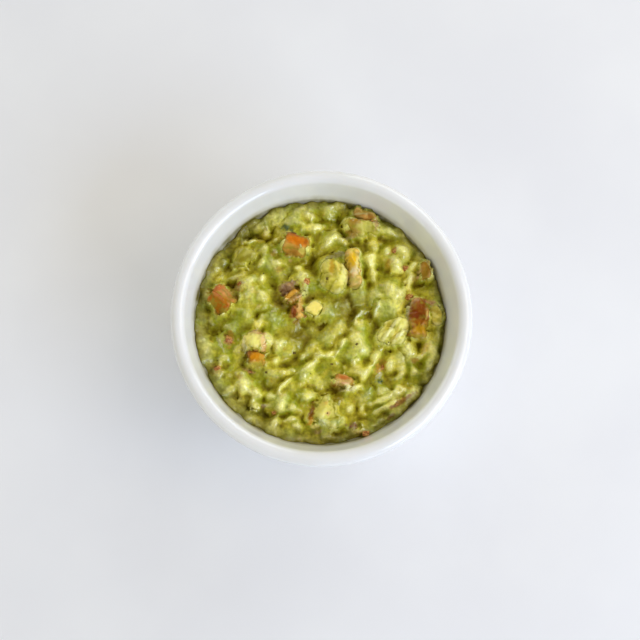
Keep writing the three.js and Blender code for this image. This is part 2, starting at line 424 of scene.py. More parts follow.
# guacamole: one wet mass whose top is raised point by point, since modifiers leave its lumps as
# separate pebbles: soft curds of three sizes, then the lumps and folds that show most
mash = {
    "edgeDepth": 9.4,  # top of the mash at the wall, below the rim
    "domeRise": 2.1,
    "domeRound": 2.4,  # the higher, the flatter its middle
    "edgeWave": 0.45,
    "level": -0.9,
    "cell": 0.26,  # spacing of its points
    "tile": 4,  # the points near a lump are looked up in tiles of this size
    "skirt": (5, 0.4),  # the plain fill starts this far below the edge, and this far from the wall
    "warp": (5.0, 1.5),  # size and shift of the stretch that makes the curds uneven
    # size, height, sharpness of the creases and unevenness of the curds, how much of them is left
    # between the coarser patches, and how much they change the paleness
    "curds": ((5.4, 3.7, 6, 0.6, 1.0, 0.6), (2.5, 0.75, 7, 0.5, 0.5, 0.4),
              (1.1, 0.36, 7, 0.4, 0.4, 0.0)),
    "patch": 9,
    "fine": (0.8, 0.06),
    # painted light and shade: swells make the mash paler on heaps and darker in dips
    "swellTone": 0.3,  # how much a swell changes the paleness
    # the dark band at the wall is painted shade
    "edgeBand": (4.4, 1.9, 210),  # width of the dark band at the wall, its swing and where it is widest
    "lumpRise": (0.7, 0.9),  # height of a placed lump, and what its lift adds
    "lumpCalm": 0.3,  # how much a placed lump evens out the curds under it
    "lumpBend": 0.5,  # how uneven its outline is
    "lumpEdge": (0.2, 1.5),  # it falls away between these shares of its half length and width
    "foldBend": (3, 0.9),  # size and shift of the wander of a fold's crest
    "foldTrough": (0.4, 1.6, 0.9),  # depth, place and width of the trough along its steep side
    "wallSmear": (-0.6, 2.0, 0.3),  # how far it is pushed up the wall, right and left, and its turn
    "wallBand": 3.6,  # from this far off
    "wallCalm": (0.6, 3.2),  # how much its lumps level out at the wall, and how near it
    "wallCrevice": (1.2, 2.6, 4.4),  # depth, width and spacing of the dips beside the wall
    "wallGap": 0.05,
    "lap": 0.8,  # how far it laps over the edges of the larger pieces
    "laps": {"avocado_lump_1": 0.15, "avocado_lump_2": 0.3, "avocado_lump_4": 0.1,
             "avocado_lump_5": 1.7, "avocado_lump_7": 1.7, "tomato_dice_3": 0.3,
             "tomato_dice_5": 1.2, "tomato_dice_7": 0.2},
    "lapTone": 0.25,
    "lapRoom": 2.4,  # the mash is drawn up this far round a piece
    "lapWander": (1.8, 0.35, 1.6),  # size of the lap's wander, its mean and its swing
    "lapEase": 0.3,
    "lapSide": (0.5, 0.6),  # how far below a piece's top it stays at its side, and how far it slopes
    "lapTop": (0.65, 0.8),  # how far it lies under a piece's top, and how far a lap lifts it
    "dabEdge": (0.5, 1.4),  # a stain or dab fades out between these shares of its half size
    "dabRagged": (0.7, 0.9),  # swing and size of its outline
    # how a point stands, which the colours turn into painted highlights and painted shade: smoothing it
    # is measured from, how much a lap calms it, the margin at the wall where it fades and what the
    # swells add
    "standing": (("crest", 20, 0.8, 1.5, 0.0), ("knoll", 250, 0.3, 5.0, 1.1)),
    # colours, each with the pattern that lays it on; lumps says where lump lies over paste
    # the last paste layer, grey-green patches about 3 mm across, is a painted sheen of the room on the
    # wet paste
    "paste": ("8E961C", ("C4B63E", (6, 2), 0.35, 0.65), ("9CA44C", (3.4, 2), 0.52, 0.7, 0.0, 0.6)),
    "lump": ("A6B02C", ("D2C842", "lumpTone", 0.0, 0.5), ("EADC70", "lumpTone", 0.55, 1.0)),
    "lumps": ("lumpTone", 0.2, 0.8, 0.2, 0.9),
    # the orange-brown specks are real; the pale colours on knolls and crests are painted highlights
    "crests": (("B88A30", (2.6, 2), 0.62, 0.72, 0.0, 0.4), ("EEEA8C", "knoll", -0.2, 1.6, 0.0, 0.58),
               ("F4EE9C", "crest", 0.05, 0.5, 0.0, 0.24)),
    # painted shade: darker olive the deeper a point lies in a hollow
    "hollows": (("98900E", "knoll", -0.9, 0.4, 0.5, 0.0), ("665404", "knoll", -2.0, -0.2, 0.75, 0.0),
                ("6A5004", "crest", -0.6, 0.0, 0.26, 0.0)),
    "clouds": (((3.6, 1), 0.3, 0.7, 1.03, 1.26), ((0.8, 3), 0.35, 0.65, 0.88, 1.12)),
    # the band of painted shade along the wall: its colour, how ragged it is, how it fades away from the
    # wall, and where the mash stands high, which it darkens less
    "band": ("4C4006", ((2.2, 2), 0.3, 0.7, -0.25, 0.25), (0.0, 1.1, 0.95, 0.0),
             ("knoll", -0.9, 0.8, 1.0, 0.65)),
    "wetness": ((4, 2), 0.35, 0.65, 0.3, 0.5),
    "glisten": (("crest", -0.08, 0.3), (0.1, 0.7, 0.25, 1.0)),  # on crests, and away from the wall
}

# the lumps that show most: place, length, width, bearing, lift and paleness (0 green, 1 pale yellow)
placedLumps = (
    # far side, left to right
    (-10.5, 34.2, 11.5, 7.0, 2, 0.9, 0.35), (-20.0, 31.5, 6.6, 3.8, 30, 0.8, 0.35),
    (-18.2, 29.2, 4.8, 2.9, 72, 0.9, 0.4), (-23.4, 26.3, 5.6, 2.8, 18, 0.9, 0.3),
    (-27.0, 22.6, 3.6, 2.5, 55, 0.6, 0.3), (-18.6, 23.2, 4.6, 2.8, 62, 0.8, 0.45),
    (-14.8, 26.4, 2.4, 2.0, 20, 0.9, 0.7), (-15.0, 22.2, 2.6, 2.4, 0, 0.5, 0.2),
    (-19.6, 18.8, 4.6, 3.2, 60, 0.7, 0.6), (-14.0, 18.4, 5.0, 2.8, -4, 0.5, 0.55),
    (-31.6, 19.0, 3.6, 2.5, 60, 0.2, 0.2), (-33.0, 13.4, 4.8, 3.0, 32, 0.6, 0.55),
    (-26.2, 14.8, 7.4, 2.4, 28, 0.3, 0.35), (-19.0, 13.4, 3.6, 2.2, 82, 0.9, 0.9),
    (-22.8, 12.6, 4.8, 3.2, 18, 0.5, 0.5), (-7.2, 16.8, 3.4, 2.8, 20, 0.8, 0.75),
    (-6.4, 14.0, 3.6, 3.2, 50, 0.6, 0.6), (-22.4, 8.6, 4.4, 3.8, 70, 0.6, 0.5),
    (-18.4, 6.8, 5.0, 3.8, -50, 0.7, 0.55), (-26.4, 6.8, 3.4, 2.2, 80, 0.6, 0.6),
    (-18.8, 3.8, 4.6, 3.0, 20, 0.5, 0.45), (-6.0, 21.6, 2.8, 1.9, 10, 0.9, 0.95),
    (-37.2, 8.0, 4.0, 2.6, 70, 0.2, 0.25), (-31.8, 1.8, 2.2, 1.9, 30, 0.9, 0.9),
    (2.6, 25.4, 7.4, 3.2, 52, 0.9, 0.5), (7.2, 26.0, 6.4, 2.6, -28, 0.9, 0.5),
    (-2.4, 30.4, 9.6, 4.2, 4, 1.0, 0.75), (-4.0, 34.0, 5.0, 3.2, -14, 0.8, 0.6),
    (9.8, 27.4, 4.4, 3.4, 20, 0.3, 0.15), (22.4, 28.8, 6.0, 3.6, -20, 0.4, 0.45),
    (16.8, 25.2, 4.6, 4.0, 80, 0.8, 0.85), (15.8, 20.4, 5.0, 4.2, 30, 0.8, 0.8),
    (21.2, 22.6, 3.2, 2.4, 80, 0.6, 0.1), (26.2, 22.8, 5.6, 3.2, -38, 0.8, 0.7),
    (23.8, 18.6, 4.2, 3.2, 0, 0.8, 0.7), (24.4, 16.2, 3.6, 2.6, -10, 0.9, 1.0),
    (30.2, 18.0, 3.8, 3.6, 30, 0.8, 0.85), (28.4, 12.4, 6.6, 3.2, 62, 0.9, 0.85),
    (16.4, 15.2, 8.4, 3.2, 96, 0.6, 0.6), (21.6, 9.6, 8.0, 3.8, -66, 0.7, 0.6),
    (25.2, 8.0, 4.0, 2.8, 30, 0.6, 0.6), (12.4, 12.0, 4.0, 2.6, 20, 0.3, 0.4),
    # near side, left to right
    (-37.6, -6.6, 9.4, 3.2, -68, 0.5, 0.4), (-31.0, -12.6, 4.6, 4.0, 20, 0.6, 0.6),
    (-33.0, -16.4, 5.0, 3.6, -70, 0.7, 0.7), (-30.6, -2.4, 3.6, 2.8, 60, 0.3, 0.4),
    (-24.6, -21.2, 6.2, 4.6, 75, 0.8, 0.65), (-28.6, -22.6, 4.2, 3.6, 60, 0.6, 0.55),
    (-21.0, -24.0, 4.2, 3.8, 0, 0.7, 0.5), (-20.2, -27.6, 5.6, 4.2, -20, 0.6, 0.45),
    (-11.6, -20.8, 6.6, 2.0, 44, 1.1, 0.8), (-11.0, -17.4, 4.2, 3.4, 10, 0.7, 0.7),
    (-3.8, -15.2, 5.2, 3.4, 24, 1.0, 0.75), (-6.0, -12.4, 3.0, 2.6, 0, 0.7, 0.5),
    (-0.6, -11.6, 4.6, 3.0, 55, 0.8, 0.7), (-14.6, -13.6, 3.6, 3.0, 0, 0.6, 0.6),
    (-16.4, -6.4, 5.2, 3.6, -50, 0.6, 0.6), (-13.6, -8.8, 4.2, 3.2, 60, 0.5, 0.6),
    (-20.0, -1.6, 4.6, 4.0, 30, 0.9, 0.9), (-8.8, -28.4, 3.6, 3.2, -20, 0.9, 0.75),
    (-12.8, -28.4, 4.0, 3.2, 70, 0.8, 0.65), (-9.2, -31.8, 4.2, 3.0, 10, 0.8, 0.7),
    (-14.6, -33.0, 5.4, 4.0, 60, 0.6, 0.5), (-4.6, -25.0, 5.8, 4.6, 20, 0.8, 0.7),
    (-7.4, -34.2, 4.2, 3.0, 0, 0.6, 0.6), (-16.6, -24.4, 4.0, 2.6, 0, 0.5, 0.5),
    (2.6, -11.2, 6.4, 2.6, 18, 1.0, 0.8), (6.4, -8.2, 4.6, 2.8, 62, 0.9, 0.7),
    (10.6, -5.6, 5.2, 4.6, 70, 0.7, 0.7), (12.2, -1.4, 4.6, 3.8, 80, 0.7, 0.7),
    (11.0, -16.4, 7.0, 5.6, -20, 0.9, 0.8), (10.2, -22.4, 5.6, 2.6, 20, 1.0, 0.85),
    (13.6, -17.8, 6.0, 2.6, 56, 0.6, 0.8), (17.0, -12.6, 6.0, 2.6, 62, 0.6, 0.7),
    (21.4, -15.4, 4.8, 3.0, 80, 0.9, 0.85), (25.6, -17.4, 4.4, 3.6, 70, 0.8, 0.6),
    (27.4, -9.6, 5.0, 4.6, 30, 0.8, 0.5), (33.8, -7.8, 6.6, 3.2, 62, 0.6, 0.65),
    (29.8, -16.8, 3.6, 3.2, 0, 0.7, 0.6), (31.2, -12.2, 3.0, 2.6, 40, 0.6, 0.5),
    (24.8, -22.8, 4.4, 4.0, 60, 0.9, 0.9), (17.8, -23.4, 6.6, 5.2, 40, 0.6, 0.45),
    (18.6, -26.2, 8.0, 1.9, 20, 1.0, 0.7), (19.6, -28.6, 8.6, 2.6, 20, 0.8, 0.6),
    (8.6, -29.2, 3.2, 2.8, 60, 1.0, 0.8), (12.6, -29.0, 3.4, 2.8, 70, 0.9, 0.7),
    (6.2, -33.0, 3.6, 2.8, 50, 0.9, 0.85), (11.4, -35.2, 6.8, 4.4, -14, 0.4, 0.5),
    (19.4, -32.4, 5.2, 3.2, 34, 0.3, 0.25), (28.6, -24.6, 5.0, 2.6, 52, 0.5, 0.2),
    (34.6, -14.6, 4.4, 2.8, 70, 0.2, 0.2), (2.0, -37.0, 4.4, 3.2, 0, 0.3, 0.25),
)

# broad heaps and dips of the whole surface: place, size and height
swells = (
    (25.5, 6.0, 4.5, 0.9), (14.5, 19.0, 3.8, 1.1), (27.0, 17.0, 4.2, 1.2), (30.0, -6.0, 4.0, 0.7),
    (6.0, 29.0, 4.0, 1.1), (-16.0, -8.5, 4.0, 1.0), (15.0, -11.0, 4.0, 0.9), (26.5, -13.0, 4.0, 0.9),
    (-13.5, 29.5, 3.4, 0.9), (-16.0, 15.5, 3.6, 0.4), (22.0, -24.0, 3.6, 0.8), (18.0, 7.0, 3.6, 0.4),
    (-26.5, 11.5, 3.4, 0.6), (-12.0, -28.0, 3.4, 0.8), (-24.0, -22.5, 3.2, 0.7),
    (0.0, -20.0, 3.2, 0.6), (3.0, 12.0, 3.2, 0.4), (6.5, 4.5, 4.4, -1.2), (-7.5, -6.0, 4.6, -1.4),
    (-2.5, 16.5, 3.2, -0.7), (11.5, -1.0, 3.0, -0.7), (-13.0, 3.5, 3.4, -0.8),
    (-25.5, -1.0, 2.8, -0.5), (-30.0, -18.5, 3.0, -0.6), (20.5, -20.5, 2.6, -0.7),
    (-32.5, 19.0, 2.6, -0.5), (34.5, 12.0, 2.4, -0.6), (-1.0, -33.0, 3.0, 0.6),
    (28.5, -2.0, 3.0, 0.5), (-1.0, -22.5, 2.6, 0.5), (-7.0, -26.0, 2.8, -0.8),
    (4.5, -24.5, 3.0, -0.4), (-26.0, 27.0, 4.0, -0.6), (-21.5, 21.5, 3.0, -0.5),
    (14.0, 25.5, 2.6, -0.5), (22.0, 14.0, 2.4, -0.4),
)

# stains where tomato, skin and herbs have coloured the mash, with a few painted highlights and patches
# of painted sheen among them: place, length, width, bearing, colour and strength
stains = (
    # far side
    (-10.0, 28.2, 4.6, 0.8, -8, "8A3A1A", 0.8), (-9.5, 21.2, 5.0, 2.2, 0, "C09450", 0.5),
    (-11.5, 30.6, 2.8, 1.6, -30, "46604E", 0.8), (-9.8, 29.4, 1.8, 1.2, -50, "3E5A4A", 0.7),
    (-19.4, 27.6, 4.0, 2.6, 40, "A88A20", 0.5), (-26.6, 11.2, 3.4, 2.2, 30, "8A6430", 0.6),
    (-15.5, 21.6, 2.6, 2.2, 0, "A87A3A", 0.6), (-13.6, 16.6, 3.0, 2.0, 20, "B4804A", 0.4),
    (11.4, 31.7, 4.4, 1.3, -12, "C8862A", 0.8), (14.8, 34.1, 5.6, 1.3, -16, "B0702E", 0.8),
    (16.8, 32.3, 1.4, 1.0, 0, "742A14", 0.9), (17.9, 31.4, 3.6, 1.2, 80, "A87050", 0.7),
    (10.2, 28.4, 4.6, 3.2, 0, "B4883C", 0.65), (19.6, 26.4, 3.0, 2.0, 40, "B89444", 0.5),
    (5.2, 21.0, 5.4, 2.4, 10, "8C7A5A", 0.7), (3.3, 15.8, 5.0, 1.4, 87, "B4800E", 0.85),
    (5.4, 16.2, 3.4, 1.0, 80, "C29A20", 0.6), (8.8, 12.8, 2.4, 1.6, 60, "96703C", 0.7),
    (23.4, 22.6, 2.6, 1.6, 60, "A8562E", 0.6), (27.3, 17.0, 1.8, 1.4, 0, "C0785A", 0.75),
    (21.4, 17.8, 4.0, 2.2, 80, "C08A34", 0.55), (33.5, 16.2, 3.2, 4.4, 0, "B87428", 0.7),
    (30.2, 13.2, 2.6, 1.8, 40, "96622A", 0.5), (28.2, 7.4, 2.6, 2.2, 0, "8A3616", 0.9),
    (34.6, 5.4, 4.0, 1.5, -22, "B0764A", 0.8), (27.6, 2.4, 5.4, 0.9, 86, "DAD0B4", 0.55),
    # middle
    (-11.6, 10.2, 6.4, 3.6, 32, "8C6248", 0.8), (-12.0, 7.8, 4.6, 1.1, 24, "4A2810", 0.85),
    (-9.4, 7.9, 6.2, 1.7, 36, "DCA434", 0.85), (-5.4, 9.2, 2.8, 2.2, 0, "CCCA7C", 0.6),
    (-4.6, 12.0, 1.5, 1.2, 0, "B4462A", 0.85), (-9.0, 2.6, 2.6, 3.2, 0, "8C3A12", 0.85),
    (-8.0, -1.0, 2.8, 2.0, 10, "7E3810", 0.75), (-13.6, 4.6, 4.4, 2.8, -20, "B4905C", 0.5),
    (-6.6, 4.2, 5.4, 1.4, 80, "E0B45A", 0.7), (-3.6, 6.4, 2.0, 3.0, 0, "AE9A50", 0.5),
    # these two near-white lines along the folds' crests are painted highlights
    (12.0, 1.4, 5.4, 0.9, 44, "DADEB4", 0.7), (17.6, 2.8, 4.8, 0.7, 68, "CCD09A", 0.6),
    (14.3, 0.8, 2.4, 1.6, 70, "4A3414", 0.85), (16.9, -4.0, 2.4, 1.3, 80, "4E4C18", 0.8),
    # these four broad grey-green patches are painted sheen of the room on the wet mash
    (10.5, 6.5, 11.0, 7.0, 20, "9EA65A", 0.45), (3.0, 3.0, 6.0, 4.0, -20, "A4AC5E", 0.35),
    (-2.0, -6.0, 8.0, 4.0, 20, "A2A856", 0.35), (22.6, 2.4, 5.0, 3.0, 60, "A8B060", 0.4),
    # near side
    (-29.4, -6.5, 4.8, 3.2, 90, "B07630", 0.8), (-30.4, -5.0, 1.3, 1.1, 0, "482808", 0.8),
    (-20.5, -4.6, 4.4, 2.0, 0, "A87850", 0.75), (-18.3, -8.6, 4.2, 1.5, 88, "CC7A48", 0.75),
    (-24.2, -9.8, 2.6, 1.1, 85, "E4E0C4", 0.7), (-22.9, -11.6, 2.8, 1.7, 90, "783210", 0.85),
    (-20.6, -14.7, 3.4, 1.8, 0, "D8AC3A", 0.7), (-23.0, -16.6, 4.8, 1.1, -18, "C89A70", 0.85),
    (-33.0, -16.0, 3.8, 3.2, 0, "C8A23C", 0.5), (-33.5, -15.5, 1.7, 1.2, 20, "8A3A1A", 0.8),
    (-32.5, -7.6, 5.4, 0.9, -62, "C8CC9C", 0.6), (-15.0, -30.0, 1.6, 1.3, 0, "BA684A", 0.75),
    (-18.3, -28.0, 2.0, 1.4, 20, "8A6468", 0.6), (-3.2, -30.2, 6.4, 1.5, 76, "B8702A", 0.85),
    (0.8, -27.6, 3.0, 1.4, 20, "C8963A", 0.6), (7.2, -19.6, 3.0, 2.0, 0, "CC5A26", 0.5),
    (4.4, -22.0, 3.4, 2.6, 0, "98622A", 0.85), (10.0, -34.0, 3.4, 2.4, 10, "7C4E42", 0.75),
    (11.6, -36.2, 3.0, 1.6, 0, "D0B04C", 0.6), (14.0, -36.6, 2.4, 1.8, 0, "C0542A", 0.85),
    (25.2, -26.5, 9.6, 1.5, 34, "985A30", 0.75), (18.6, -15.4, 4.4, 2.6, 62, "C4843C", 0.75),
    (19.5, -15.4, 1.7, 1.0, 62, "A63C1A", 0.85), (18.2, -18.2, 2.8, 1.2, 50, "DADABC", 0.6),
    (18.7, -19.9, 2.4, 2.0, 0, "38522E", 0.85), (14.8, -23.6, 4.4, 3.4, 40, "8C9C50", 0.45),
    (29.6, -13.4, 2.2, 1.8, 0, "B07C3C", 0.6), (33.0, -9.4, 3.6, 2.4, 60, "C89A3E", 0.5),
    (-26.0, -18.8, 2.4, 2.0, 0, "A8822A", 0.5), (22.0, -31.0, 3.0, 1.4, 34, "7A3E20", 0.6),
)

# dabs of colour on the larger pieces and on the mash that laps over them, laid in this order; some pale
# lines among them are painted highlights
dabs = (
    # tomato_dice_1
    (-9.2, 21.4, 4.8, 1.7, -6, "A8741E", 0.8), (-10.1, 19.4, 1.4, 1.0, 0, "D8A47A", 0.6),
    (-10.8, 23.6, 1.1, 3.6, 85, "CCA23E", 0.5), (-8.0, 25.5, 7.2, 2.3, -16, "DA7A12", 0.95),
    (-8.2, 27.2, 5.0, 0.7, -6, "B4602A", 0.8), (-9.2, 28.2, 2.6, 0.6, -8, "7A3A1A", 0.7),
    (-5.1, 24.9, 1.8, 1.2, 70, "B0601E", 0.7), (-6.3, 21.9, 2.4, 1.6, 0, "D8C458", 0.9),
    # tomato_dice_2
    (-33.2, 9.6, 4.6, 2.2, 22, "C8743C", 0.9), (-30.2, 8.6, 5.0, 2.6, 10, "C49450", 0.7),
    (-31.6, 5.6, 4.2, 2.2, -20, "AE6A10", 0.9), (-33.2, 3.2, 3.6, 1.6, 80, "B06E14", 0.9),
    # DC9854 is a painted highlight band beside the ridge
    (-33.4, 7.4, 5.8, 0.9, -36, "A45412", 0.9), (-31.6, 8.0, 3.4, 0.8, -32, "DC9854", 0.7),
    (-28.6, 11.7, 4.6, 1.0, -4, "8A5A2C", 0.85), (-27.6, 10.2, 3.4, 2.4, -10, "9C8044", 0.8),
    (-27.4, 7.8, 2.4, 2.4, 0, "6E5A1C", 0.7),
    # tomato_dice_3
    (29.9, 1.0, 3.6, 3.4, 10, "7A3406", 0.95), (32.0, 3.4, 3.2, 3.0, -30, "884810", 0.9),
    (33.0, 5.8, 2.4, 1.6, 80, "8E3E0C", 0.8), (31.6, -1.6, 4.4, 1.8, 0, "9C5C0E", 0.9),
    (31.2, -4.2, 4.4, 3.4, 0, "BC8E14", 0.95), (31.4, -6.4, 4.0, 1.8, 0, "A8942C", 0.9),
    # D8B45C and C8B48A, thin pale lines along its edges, are painted highlights
    (33.5, 0.8, 2.4, 0.8, 84, "D8B45C", 0.7), (29.8, 5.6, 3.0, 1.3, 10, "B08A62", 0.7),
    (35.4, 5.7, 3.6, 1.5, -20, "B08A56", 0.8), (28.3, 4.2, 2.6, 0.9, 80, "C8B48A", 0.6),
    # tomato_dice_4 and avocado_lump_3
    (-23.0, -12.1, 2.6, 2.6, 0, "6E3E0A", 0.9), (-20.4, -12.3, 4.4, 2.6, 0, "D28A12", 0.95),
    (-18.9, -12.7, 1.8, 1.8, 0, "E0AE3C", 0.8), (-21.4, -10.8, 3.0, 0.9, 8, "965A20", 0.8),
    (-20.8, -15.2, 5.4, 2.0, 0, "B4A43C", 0.9), (-23.8, -13.4, 1.2, 2.4, 0, "6E5A1C", 0.7),
    (-21.8, -7.4, 4.0, 4.0, 0, "EEE47C", 0.9), (-18.5, -7.8, 5.4, 1.5, 84, "EECC86", 0.85),
    (-24.7, -8.4, 3.4, 1.0, 80, "E0D49A", 0.7), (-20.0, -4.9, 3.6, 1.2, -8, "BC9658", 0.7),
    # tomato_dice_5
    (5.0, -25.4, 4.0, 2.6, 0, "8C6A14", 0.7), (4.2, -22.4, 3.2, 2.2, 80, "7A5414", 0.9),
    (7.0, -20.6, 5.4, 2.8, -8, "D8B868", 0.9), (6.9, -19.3, 2.4, 1.4, -10, "C46E2A", 0.9),
    # the near-white strip F2ECAA along the ridge's crest is a painted highlight
    (7.6, -21.0, 2.6, 0.8, -6, "E8B48C", 0.7), (8.6, -22.5, 5.2, 1.9, 0, "F2ECAA", 0.9),
    # tomato_dice_6 and avocado_lump_7
    (10.6, 31.5, 4.0, 2.4, 0, "A88A30", 0.8), (14.2, 30.4, 5.0, 3.2, 0, "C4BE5C", 0.7),
    (11.4, 32.5, 4.4, 0.9, -4, "B8862A", 0.85), (13.2, 33.0, 3.4, 1.6, -6, "BCA45C", 0.8),
    (14.6, 33.7, 2.4, 1.8, -20, "CE9E48", 0.9), (12.4, 34.8, 6.0, 0.7, 4, "C0B070", 0.8),
    (16.3, 32.3, 1.3, 0.8, 0, "7A4A1A", 0.85), (17.5, 31.6, 3.0, 1.2, -60, "B09658", 0.8),
    (10.0, 28.6, 3.0, 2.0, 0, "B4943C", 0.8), (8.2, 27.0, 2.6, 1.8, 0, "9C8E5A", 0.7),
    # tomato_dice_7 and avocado_lump_1
    (4.2, 20.8, 6.4, 1.7, 12, "8E8458", 0.8), (10.0, 18.8, 4.8, 2.8, 92, "F0C020", 0.95),
    # the thin pale line F4E68C on the strip's right is a painted highlight
    (9.2, 21.8, 2.6, 1.9, 95, "E4D060", 0.8), (11.4, 17.5, 4.4, 0.9, 85, "F4E68C", 0.8),
    (10.5, 14.8, 2.8, 2.6, 80, "F0DCA8", 0.9), (9.8, 11.8, 3.2, 2.6, 70, "B4A84C", 0.9),
    (8.8, 10.9, 1.3, 1.1, 60, "5E4E1C", 0.8), (8.7, 15.6, 3.6, 0.7, 86, "B08A3A", 0.6),
    (1.4, 15.8, 3.4, 1.2, 85, "C8BE60", 0.6), (2.0, 12.0, 3.2, 1.3, 88, "968A20", 0.7),
    (3.6, 14.2, 4.4, 2.4, 80, "B6A634", 0.6), (3.3, 16.8, 4.6, 1.4, 86, "B4921E", 0.75),
    (5.4, 16.6, 4.4, 1.1, 84, "DED068", 0.6), (7.1, 15.0, 5.6, 1.5, 88, "F0E890", 0.85),
    (6.6, 12.0, 3.2, 2.6, 80, "ECE484", 0.8), (4.6, 12.0, 5.0, 0.9, 84, "B8AE3C", 0.6),
    (4.5, 9.4, 4.0, 1.2, 10, "B4AA38", 0.7),
    # tomato_dice_8
    (33.4, 15.8, 5.0, 2.4, 88, "96761C", 0.9), (33.3, 17.2, 2.0, 1.2, 80, "B4821E", 0.7),
    (31.4, 14.8, 3.0, 1.2, 80, "C8A478", 0.7),
    # the skin
    (-12.8, 5.4, 4.4, 3.0, -10, "94763A", 0.7), (-10.6, 10.2, 6.4, 2.4, 32, "8A6A48", 0.9),
    (-9.0, 5.2, 3.6, 4.0, 0, "9E7422", 0.7), (-11.3, 7.8, 4.0, 0.9, 30, "4E2C0C", 0.9),
    (-9.4, 7.6, 6.0, 1.0, 40, "DCA63A", 0.95), (-9.0, 2.2, 4.6, 2.6, 82, "8E4410", 0.9),
    (-7.0, 5.0, 5.4, 0.7, 84, "D8AC62", 0.85), (-7.6, 2.2, 2.6, 0.8, -62, "D09A50", 0.8),
    (-6.7, 0.8, 2.0, 1.4, 20, "EEC05C", 0.9), (-5.2, 8.2, 2.8, 2.6, 0, "CDCB7C", 0.7),
    (-4.7, 11.8, 2.2, 1.3, 0, "B05A1E", 0.85), (-4.4, 5.6, 1.8, 3.0, 0, "B4984A", 0.6),
    # avocado_lump_2, _4, _5, _6 and _8
    (21.2, -2.6, 4.6, 1.5, 60, "C8B83C", 0.8), (23.6, -5.0, 5.0, 1.0, 58, "D2BE4C", 0.7),
    # F2EEAC and EEECB0, near-white streaks along its ridges, are painted highlights
    (22.0, -3.8, 7.0, 1.0, 58, "F2EEAC", 0.85), (25.0, -5.4, 5.0, 1.2, 44, "EEECB0", 0.8),
    (26.4, -2.6, 3.0, 2.4, 30, "EEE688", 0.7), (-2.3, 3.4, 4.2, 3.6, 0, "F0DC72", 0.9),
    (36.0, 2.6, 3.4, 1.2, -20, "B09A34", 0.7), (36.3, 1.2, 2.4, 1.4, -30, "E8DC7E", 0.8),
    (35.0, 0.0, 2.6, 0.9, 70, "C8BC4A", 0.7), (-0.4, -29.6, 5.4, 4.6, 20, "DED468", 0.8),
    (-3.1, -30.2, 5.8, 1.7, 80, "7E5204", 0.95), (-3.4, -33.0, 2.4, 1.4, 60, "CC9A2C", 0.8),
    (-2.0, -34.4, 2.8, 1.4, 0, "EADC7A", 0.9), (0.6, -33.4, 3.4, 2.0, 0, "DCE09A", 0.8),
    (2.0, -30.6, 1.4, 1.3, 0, "CFA262", 0.8), (4.2, -33.2, 3.4, 1.7, 0, "8E9A3C", 0.8),
    (-1.2, -36.0, 2.4, 1.4, 0, "C8A878", 0.7), (3.6, -30.6, 3.0, 1.6, 80, "CCC25A", 0.7),
    (-25.3, 19.4, 6.4, 1.9, 38, "857A14", 0.9), (-23.6, 21.8, 4.4, 1.3, 36, "B2AA4E", 0.8),
    (-28.0, 18.0, 3.6, 1.5, 40, "94903A", 0.7),
)

# folds: height, width on the gentle and on the steep side, then the points of the crest
folds = (
    (0.9, 1.8, 0.9, ((20, -9.5), (18, -12), (16.2, -16), (13.4, -19), (12, -21.8),
                      (9.5, -23.8), (6.6, -23))),
    (1.5, 0.8, 0.45, ((10.2, -1.5), (11.2, 0.8), (12.6, 2.2), (14.2, 2.6))),
    (1.2, 0.7, 0.45, ((16.8, 0.5), (17.6, 2.6), (18.6, 4.8))),
    (0.8, 0.9, 0.5, ((0, -12), (4, -12), (5.8, -9.6), (7, -7))),
    (0.7, 0.8, 0.5, ((-13.8, -23), (-9.5, -19))), (0.7, 0.8, 0.5, ((-6, -16.5), (-1.5, -14))),
    # on the larger pieces
    (0.6, 0.6, 0.5, ((19.6, -7.2), (22, -3.8), (24.4, -0.6))),
    (0.5, 0.5, 0.4, ((22.6, -8), (25, -5.6), (27.6, -3.8))),
    (-0.35, 0.7, 0.7, ((3.1, 19), (3.4, 16), (3.6, 13.4))),
    (0.4, 0.9, 0.7, ((7, 17.5), (7.2, 12), (5.6, 9.6))),
    (0.5, 0.5, 0.4, ((-11.8, 5.8), (-9.4, 7.8), (-7, 9.8))),
    (0.5, 0.4, 0.4, ((-6.8, 7.8), (-7.1, 4), (-8, 2.2), (-6.6, 0.6))),
    (0.5, 0.8, 0.6, ((-18.8, -5.4), (-18, -8), (-18.8, -10.4))),
    (-0.5, 0.6, 0.6, ((-24, -10.6), (-21, -10.6), (-19, -10.9))),
    (-0.6, 0.8, 0.8, ((-2.9, -27.6), (-3.3, -30.4), (-3.4, -32.4))),
    (0.5, 0.8, 0.6, ((-36, 9.2), (-33.4, 7.6), (-31, 5.8))),
    (0.5, 0.7, 0.6, ((8.6, 22.6), (10, 19), (10.8, 15), (9.4, 11.8))),
    (-0.5, 0.6, 0.6, ((8.4, 20), (8.5, 16), (8.6, 13))),
)

edgeLevel = dishTop - mash["edgeDepth"]
fillRadius = insideRadius(edgeLevel)


def domeHeight(x, y):
    share = min(1.0, math.hypot(x, y) / fillRadius)
    turn = math.atan2(y, x)
    wave = math.sin(2 * turn + 0.6) + 0.6 * math.sin(5 * turn - 1.1)
    dome = mash["domeRise"] * (1 - share ** mash["domeRound"])
    return edgeLevel + dome + mash["edgeWave"] * wave * share


def wallSmear(x, y):
    # how far the mash is pushed up the wall in this direction
    right, left, turn = mash["wallSmear"]
    return right + (left - right) * (0.5 - 0.5 * math.cos(math.atan2(y, x) - turn))


def swellHeight(x, y):
    height = 0.0
    for left, front, size, rise in swells:
        away = ((x - left) ** 2 + (y - front) ** 2) / size ** 2
        if away < 6:
            height += rise * math.exp(-away)
    return height


